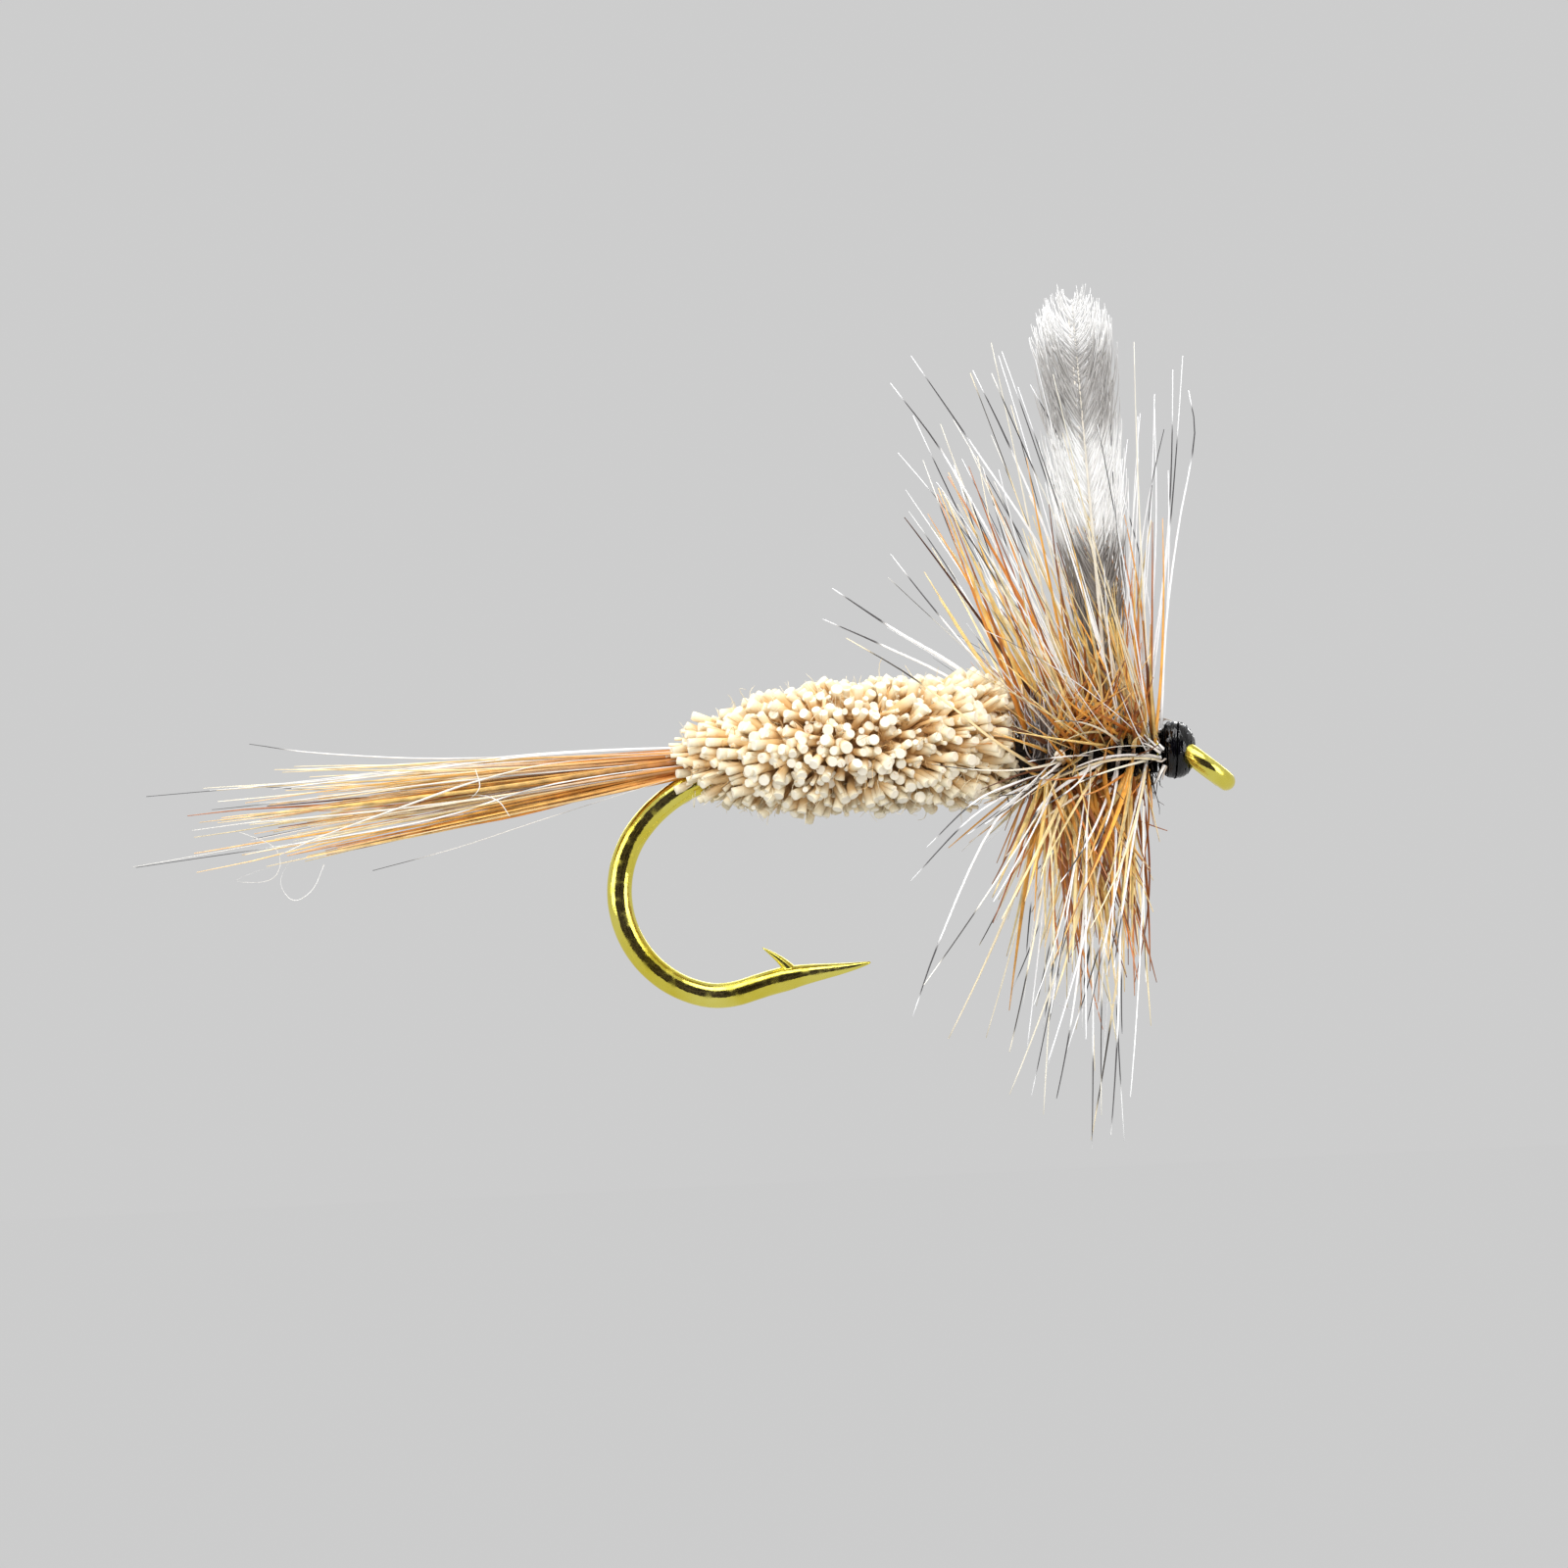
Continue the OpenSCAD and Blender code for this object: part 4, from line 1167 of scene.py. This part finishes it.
for turn in range(TURNS):
    lines, outward = barb_lines(
        rng, HACKLE_REAR, turn, BARBS_A_TURN, 5.6, 0.36, BROWN_LEAN_BELOW, sideways=17.0
    )
    short, short_out = barb_lines(
        rng, HACKLE_REAR, turn, 38, 3.9, 0.45, ((-24.0, -6.0), (22.0, 30.0)), sideways=26.0
    )
    lines = np.concatenate([lines, short])
    outward = np.concatenate([outward, short_out])
    count = len(lines)
    ring = barb_piece(
        f"brown_barbs_turn_{turn + 1}", hackle_brown, lines, outward, rng,
        0.034 + 0.060 * rng.random(count) ** 1.6, rng.random(count) ** 0.5,
    )
    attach(ring, "root")
    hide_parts(f"brown_hackle_turn_{turn + 1}")

    lines, outward = barb_lines(
        rng, grizzly_start, turn, BARBS_A_TURN, 8.2, 0.30, GRIZZLY_LEAN_BELOW, thinned=0.10
    )
    count = len(lines)
    ring = barb_piece(
        f"grizzly_barbs_turn_{turn + 1}", hackle_grizzly, lines, outward, rng,
        0.023 + 0.027 * rng.random(count) ** 1.5, rng.random(count), bar_shift=0.09, plain_share=0.42,
    )
    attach(ring, "root")
    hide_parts(f"grizzly_hackle_turn_{turn + 1}")


def hand_laid(name, material, routes, rng):
    """Barbs that the winding trapped or bent: each has its route, half width and tone."""
    lines = np.array([through(points, BARB_RINGS) for points, width, tone in routes])
    widths = np.array([width for points, width, tone in routes])
    tones = np.array([tone for points, width, tone in routes])
    made = barb_piece(name, material, lines, NEAR_SIDE, rng, widths, tones, 0.02, 0.0)
    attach(made, "root")


LAID_BACK = [
    ([(-1.04, -0.58, 0.20), (-1.7, -0.90, 0.25), (-2.5, -1.05, 0.18), (-3.4, -1.25, -0.10),
      (-4.2, -1.6, -0.40), (-5.3, -1.9, -0.52)], 0.058, 0.10),
    ([(-1.02, -0.60, 0.24), (-1.8, -0.95, 0.33), (-2.5, -1.10, 0.26), (-3.2, -1.30, 0.02),
      (-3.9, -1.55, -0.30)], 0.046, 0.60),
    ([(-2.2, -0.90, 0.30), (-3.0, -1.20, -0.12), (-3.6, -1.40, -0.50), (-4.0, -1.60, -0.95),
      (-4.3, -1.70, -1.65)], 0.070, 0.70),
    ([(-2.4, -0.80, -0.20), (-3.1, -1.10, -0.62), (-3.8, -1.30, -1.05), (-4.7, -1.50, -1.85)],
     0.052, 0.20),
    ([(-3.4, -0.90, 0.05), (-4.5, -1.55, -0.22), (-5.4, -1.95, -0.60), (-6.5, -2.3, -1.55)],
     0.050, 0.90),
    ([(-3.3, -0.80, 0.0), (-4.6, -1.50, -0.45), (-5.6, -1.9, -1.05), (-6.9, -2.2, -2.3)],
     0.044, 0.95),
    ([(-3.9, -0.90, 0.15), (-4.9, -1.60, 0.85), (-5.7, -1.90, 1.56), (-6.8, -2.0, 2.45),
      (-8.1, -2.0, 3.3)], 0.052, 0.0),
    ([(-3.6, -0.60, 0.10), (-5.0, -1.00, -1.2), (-6.3, -1.20, -3.7), (-7.0, -1.30, -5.4)],
     0.048, 0.90),
    ([(-4.0, 0.50, 0.90), (-5.4, 0.90, 2.40), (-7.0, 1.10, 3.50), (-8.35, 1.20, 4.50)], 0.075, 0.9),
    ([(-4.0, 0.60, 0.80), (-5.6, 1.00, 2.20), (-7.2, 1.20, 3.10), (-8.60, 1.30, 3.80)], 0.060, 0.9),
    ([(-1.6, -0.50, 0.90), (-3.3, -0.70, 4.7), (-5.0, -0.80, 7.6), (-6.3, -0.80, 9.7)], 0.050, 0.9),
    ([(-2.1, -0.50, 0.90), (-3.1, -0.70, 4.6), (-4.1, -0.80, 7.4), (-4.9, -0.80, 9.3)], 0.052, 0.9),
    ([(-1.3, -0.50, 0.90), (-1.9, -0.80, 4.8), (-2.8, -0.90, 7.2), (-3.6, -0.90, 8.9)], 0.050, 0.9),
    ([(-2.5, -0.50, 0.90), (-4.0, -0.70, 4.1), (-5.6, -0.80, 7.3), (-6.8, -0.80, 9.1)], 0.050, 0.9),
    ([(-0.98, -0.40, 0.90), (-0.75, -0.50, 3.3), (-0.36, -0.60, 5.5), (0.10, -0.60, 7.5),
      (0.02, -0.60, 8.6)], 0.040, 0.9),
]
BENT_BROWN = [
    ([(-3.3, -0.85, 0.15), (-4.2, -1.50, 0.02), (-5.2, -1.9, -0.30)], 0.050, 0.05),
    ([(-3.1, -0.85, 0.05), (-4.0, -1.40, -0.10), (-4.9, -1.8, -0.42)], 0.045, 0.02),
    ([(-3.95, -0.50, 0.5), (-4.4, -0.80, 2.0), (-4.95, -0.90, 3.6), (-5.85, -1.0, 6.5)], 0.085, 0.40),
    ([(-3.75, -0.60, 0.5), (-4.25, -0.90, 2.0), (-4.85, -1.00, 3.9), (-5.55, -1.1, 6.0)], 0.075, 0.30),
    ([(-3.55, -0.60, 0.5), (-4.1, -0.90, 1.9), (-4.6, -1.00, 3.5), (-5.0, -1.1, 4.9)], 0.085, 0.70),
    ([(-3.2, -0.50, 0.6), (-3.9, -0.70, 3.2), (-4.5, -0.80, 5.2), (-5.1, -0.90, 7.1)], 0.050, 0.25),
    ([(-3.1, -0.50, 0.6), (-3.7, -0.70, 3.2), (-4.2, -0.80, 5.2), (-4.75, -0.90, 6.9)], 0.046, 0.45),
    ([(-1.15, -0.60, 0.5), (-0.92, -0.70, 2.2), (-0.78, -0.70, 4.0), (-0.72, -0.70, 5.7)], 0.050, 0.55),
]
hand_laid("laid_back_grizzly_barbs", hackle_grizzly, LAID_BACK, rng)
hand_laid("bent_brown_barbs", hackle_brown, BENT_BROWN, rng)

# Barbs of the last turn that stand straight up in front of the wings.
FRONT_BARBS = 22
front_root = rows_of(
    rng.uniform(-2.2, -1.05, FRONT_BARBS), rng.uniform(-0.35, 0.50, FRONT_BARBS), 0.90
)
front_lean = np.radians(rng.uniform(-9.0, 9.0, FRONT_BARBS))
front_heading = rows_of(
    -np.sin(front_lean), rng.normal(-0.04, 0.07, FRONT_BARBS), np.cos(front_lean)
)
front_bow = FORWARD * rng.normal(0.0, 0.22, (FRONT_BARBS, 1, 1))
t = np.linspace(0.0, 1.0, BARB_RINGS)[None, :, None]
lines = (
    front_root[:, None] + front_heading[:, None] * rng.uniform(5.4, 8.8, (FRONT_BARBS, 1, 1)) * t
    + front_bow * np.sin(np.pi * t)
)
front = barb_piece(
    "upright_front_barbs", hackle_grizzly, lines, NEAR_SIDE, rng,
    rng.uniform(0.022, 0.042, FRONT_BARBS), rng.uniform(0.45, 1.0, FRONT_BARBS), 0.3, 0.6,
)
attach(front, "root")

FRONT_BROWNS = 44
brown_root = rng.uniform(
    [[-2.7], [-0.75], [0.50]], [[-1.10], [-0.40], [0.90]], (3, FRONT_BROWNS)
).T
brown_lean = np.radians(rng.uniform(-4.0, 12.0, FRONT_BROWNS))
brown_heading = rows_of(
    -np.sin(brown_lean), rng.normal(-0.06, 0.06, FRONT_BROWNS), np.cos(brown_lean)
)
lines = (
    brown_root[:, None] + brown_heading[:, None] * rng.uniform(2.6, 5.4, (FRONT_BROWNS, 1, 1)) * t
    + FORWARD * rng.normal(0.0, 0.12, (FRONT_BROWNS, 1, 1)) * np.sin(np.pi * t)
)
front_brown = barb_piece(
    "upright_brown_barbs", hackle_brown, lines, NEAR_SIDE, rng,
    rng.uniform(0.030, 0.070, FRONT_BROWNS), rng.uniform(0.0, 1.0, FRONT_BROWNS),
)
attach(front_brown, "root")

# Broken and twisted brown barbs that cross in front of the rest, above and below the shank.
CROSSED = 84
below = np.arange(CROSSED) < 50
fall_forward = np.arange(CROSSED) % 2 == 0
cross_root = rows_of(
    np.where(fall_forward, rng.uniform(-3.7, -2.4, CROSSED), rng.uniform(-3.7, -1.35, CROSSED)),
    rng.uniform(-0.80, -0.60, CROSSED),
    np.where(below, rng.uniform(-0.45, 0.0, CROSSED), rng.uniform(0.45, 0.85, CROSSED)),
)
forward = cross_root[:, 0] + rng.uniform(0.3, 1.3, CROSSED)
cross_tip = rows_of(
    np.where(fall_forward, forward, rng.uniform(-3.9, -1.25, CROSSED)),
    rng.uniform(-2.3, -1.2, CROSSED),
    np.where(below, rng.uniform(-4.9, -1.8, CROSSED), rng.uniform(1.3, 3.0, CROSSED)),
)
lines = (
    cross_root[:, None] + (cross_tip - cross_root)[:, None] * t
    + rng.normal(0.0, 0.10, (CROSSED, 1, 3)) * np.sin(np.pi * t)
)
crossed = barb_piece(
    "crossed_brown_barbs", hackle_brown, lines, NEAR_SIDE, rng,
    0.034 + 0.050 * rng.random(CROSSED), rng.uniform(0.1, 0.85, CROSSED),
)
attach(crossed, "root")

# Soft grey web at the butt of the grizzly hackle, and one loose curl among the lower tips.
web_grey = fibre_finish(
    "grey_hackle_web", [(0.0, (0.07, 0.050, 0.045)), (0.6, (0.24, 0.20, 0.19)), (1.0, (0.82, 0.80, 0.82))],
    0.6, 1.2, streaks=0.2, variety=0.4, gloss=0.6,
)
WEB = 80
web_root = rows_of(
    rng.uniform(-3.95, -3.40, WEB), rng.uniform(-0.75, -0.55, WEB), rng.uniform(0.30, 0.60, WEB)
)
web_heading = np.array([-0.12, -0.45, 1.0]) + rng.normal(0.0, 0.20, (WEB, 3))
web_curl = rng.normal(0.0, 0.08, (WEB, 1, 3))
lines = (
    web_root[:, None] + web_heading[:, None] * rng.uniform(0.5, 1.5, (WEB, 1, 1)) * t
    + web_curl * np.sin(2 * np.pi * t)
)
loose = through([(-3.6, -0.9, -4.6), (-3.78, -1.0, -5.15), (-3.30, -1.0, -5.45), (-2.85, -1.0, -5.29),
                 (-2.28, -0.9, -5.34)], BARB_RINGS)
web_fluff = barb_piece(
    "crushed_hackle_web", web_grey, np.concatenate([lines, loose[None]]),
    NEAR_SIDE, rng, np.append(rng.uniform(0.012, 0.026, WEB), 0.014),
    np.append(rng.random(WEB), 1.0),
)
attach(web_fluff, "root")

# Short barbs that the next turn of quill crossed and pushed out of line.
STRAYS = 130
stray_x = rng.uniform(-3.95, -1.25, STRAYS)
stray_turn = rng.uniform(0.0, 2 * np.pi, STRAYS)
out = rows_of(0.0, np.sin(stray_turn), np.cos(stray_turn))
tangent = rows_of(0.0, np.cos(stray_turn), -np.sin(stray_turn))
heading = unit(
    out * rng.uniform(0.25, 0.9, (STRAYS, 1)) + tangent * rng.normal(0.0, 0.75, (STRAYS, 1))
    + FORWARD
    * np.minimum(rng.normal(-0.15, 0.45, (STRAYS, 1)), 0.30 * (-1.15 - stray_x)[:, None])
)
root = rows_of(stray_x, 0.0, SHANK_Z) + out * 0.50
stray_len = rng.uniform(0.9, 3.0, (STRAYS, 1, 1))
curl = rng.normal(0.0, 0.06, (STRAYS, 1, 3))
lines = root[:, None] + stray_len * (heading[:, None] * t + curl * np.sin(np.pi * t))
strays = barb_piece(
    "pushed_aside_barbs", hackle_brown, lines, out, rng, rng.uniform(0.022, 0.050, STRAYS),
    rng.uniform(0.05, 0.95, STRAYS),
)
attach(strays, "root")


# Head: the thread is built up into a small egg behind the eye, finished with a hidden
# whip knot, and sealed with clear cement that stands in small glossy beads.
HEAD_REAR = -1.06
HEAD_FRONT = -0.23
HEAD_R = 0.585
HEAD_TURNS = 15
HEAD_RINGS = 40
HEAD_SIDES = 56


def head_radius(x):
    s = np.clip((x - HEAD_REAR) / (HEAD_FRONT - HEAD_REAR), 0.0, 1.0)
    return HEAD_R * (1 - np.abs(2 * s - 0.92) ** 2.6 * 0.55)


def wound_line(turns, rear, front, lift, phase, steps=56):
    """Thread laid in a helix over the head's outline."""
    t = np.linspace(0.0, 1.0, int(abs(turns) * steps))
    x = rear + (front - rear) * t
    angle = 2 * np.pi * turns * t + phase
    r = head_radius(x) + lift
    return rows_of(x, r * np.sin(angle), SHANK_Z + r * np.cos(angle))


head_x = np.linspace(HEAD_REAR, HEAD_FRONT, HEAD_RINGS)
layers = [lathe(head_x, head_radius(head_x) - 0.012, HEAD_SIDES, SHANK_Z)]
for turns, lift, phase in ((HEAD_TURNS, 0.0, 0.0), (-3.6, 0.034, 1.1), (2.7, 0.050, 2.4)):
    line = wound_line(turns, HEAD_REAR + 0.02, HEAD_FRONT - 0.02, lift, phase)
    layers.append(tubes(line[None], np.full((1, len(line)), THREAD_R), 8))
head = piece("wound_thread_head", *gathered(layers), black_thread)
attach(head, "root")
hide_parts("head_thread")

knot_line = wound_line(3.0, -0.98, -0.84, 0.045, 0.4)
knot = piece(
    "whip_finish_knot", *tubes(knot_line[None], np.full((1, len(knot_line)), THREAD_R), 8), black_thread
)
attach(knot, "root")
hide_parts("whip_finish")


# Quill butts: the cut ends of the two hackle quills and a few crushed barbs. They're split
# horn, caught and held under the first turns of the head.
butt_horn = fibre_finish(
    "split_quill_butt", [(0.0, (0.20, 0.11, 0.07)), (0.5, (0.62, 0.52, 0.42)), (1.0, (0.93, 0.90, 0.86))],
    0.9, 1.0, streaks=0.35, variety=0.2,
)
BUTTS = [
    ([(-1.00, -0.60, 0.38), (-1.28, -0.72, 0.66), (-1.56, -0.72, 0.95)], 0.045, 0.95),
    ([(-1.03, -0.62, 0.33), (-1.25, -0.74, 0.50), (-1.46, -0.80, 0.60)], 0.040, 0.75),
    ([(-0.95, -0.60, 0.42), (-1.04, -0.68, 0.52), (-1.10, -0.72, 0.62)], 0.050, 1.00),
    ([(-0.92, -0.60, 0.20), (-1.02, -0.68, 0.14), (-1.14, -0.72, 0.16)], 0.038, 0.60),
    ([(-0.95, -0.58, 0.05), (-1.06, -0.66, -0.14), (-1.18, -0.70, -0.36)], 0.048, 0.95),
    ([(-0.90, -0.58, 0.02), (-0.97, -0.66, -0.12), (-1.02, -0.68, -0.28)], 0.034, 0.40),
    ([(-1.02, -0.60, 0.22), (-1.30, -0.80, 0.30), (-1.60, -0.88, 0.28)], 0.050, 0.70),
    ([(-1.02, -0.40, 0.80), (-1.16, -0.44, 1.00), (-1.20, -0.42, 1.24)], 0.030, 0.15),
    ([(-0.96, -0.30, 0.90), (-0.94, -0.30, 1.06), (-0.84, -0.30, 1.10)], 0.026, 0.20),
    ([(-1.10, -0.20, 0.92), (-0.98, -0.22, 1.12), (-0.72, -0.22, 1.06)], 0.024, 0.55),
    ([(-1.16, -0.52, 0.66), (-1.20, -0.55, 0.92), (-1.30, -0.50, 1.15)], 0.036, 0.10),
    ([(-1.14, 0.52, 0.66), (-1.22, 0.60, 0.92), (-1.32, 0.55, 1.25)], 0.036, 0.70),
    ([(-1.00, 0.60, 0.30), (-1.24, 0.74, 0.42), (-1.50, 0.80, 0.40)], 0.044, 0.90),
    ([(-0.98, 0.58, 0.00), (-1.08, 0.68, -0.20), (-1.20, 0.72, -0.42)], 0.042, 0.85),
]
hand_laid("split_quill_butts", butt_horn, BUTTS, rng)


def clear_cement():
    material, nodes, shader = new_material("clear_head_cement")
    where = node(nodes, "TexCoord")
    cloud = node(nodes, "TexNoise", {"Vector": (where, "Object"), "Scale": 2500.0})
    tone = ramp(nodes, [(0.0, (0.48, 0.46, 0.44)), (1.0, (0.66, 0.66, 0.67))], cloud)
    skin = node(nodes, "MapRange", {"Value": (cloud, "Fac"), "To Min": 0.02, "To Max": 0.08})
    beads = node(nodes, "Bump", {"Height": (cloud, "Fac"), "Strength": 0.5, "Distance": 0.00003})
    fill(shader, {
        "Transmission Weight": 1.0, "IOR": 1.48, "Specular IOR Level": 0.04,
        "Base Color": (tone, "Color"), "Roughness": (skin, "Result"), "Normal": (beads, "Normal"),
    })
    return material


COAT_DEPTH = 0.062
rng = np.random.default_rng(5)
lumps = 1 + 0.02 * rng.normal(0.0, 1.0, (HEAD_RINGS, HEAD_SIDES))
lumps = (lumps + np.roll(lumps, 1, 0) + np.roll(lumps, 1, 1) + np.roll(lumps, -1, 1)) / 4
cement = piece(
    "head_cement_coat",
    *lathe(
        np.linspace(HEAD_REAR - 0.01, HEAD_FRONT + 0.02, HEAD_RINGS),
        head_radius(head_x) + COAT_DEPTH, HEAD_SIDES, SHANK_Z, ragged=lumps,
    ),
    clear_cement(),
)
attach(cement, "root")
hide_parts("head_cement")


# Cement beads: drops of the same clear cement that set hard and glossy over the front of
# the head, before they could level out. They hold by their own bond to the coat.
bead_gloss, nodes, shader = new_material("cement_beads")
ripple = node(nodes, "TexNoise", {"Scale": 6000.0})
uneven = node(nodes, "Bump", {"Height": (ripple, "Fac"), "Strength": 0.4, "Distance": 0.00001})
fill(shader, {
    "Base Color": (0.30, 0.31, 0.33, 1.0), "Transmission Weight": 0.7, "Roughness": 0.12,
    "Normal": (uneven, "Normal"),
})
BEADS = 34
shells = []
for bead in range(BEADS):
    bead_x = rng.uniform(-0.86, HEAD_FRONT)
    bead_turn = rng.uniform(-1.25, 0.7)
    size = rng.uniform(0.022, 0.050)
    stand = head_radius(bead_x) + 0.055
    polar = np.linspace(0.08, math.pi - 0.08, 9)
    shells.append(lathe(
        bead_x - size * np.cos(polar), size * np.sin(polar), 12,
        SHANK_Z + stand * math.cos(bead_turn), stand * math.sin(bead_turn),
    ))
beads = piece("cement_beads", *gathered(shells), bead_gloss)
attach(beads, "root")
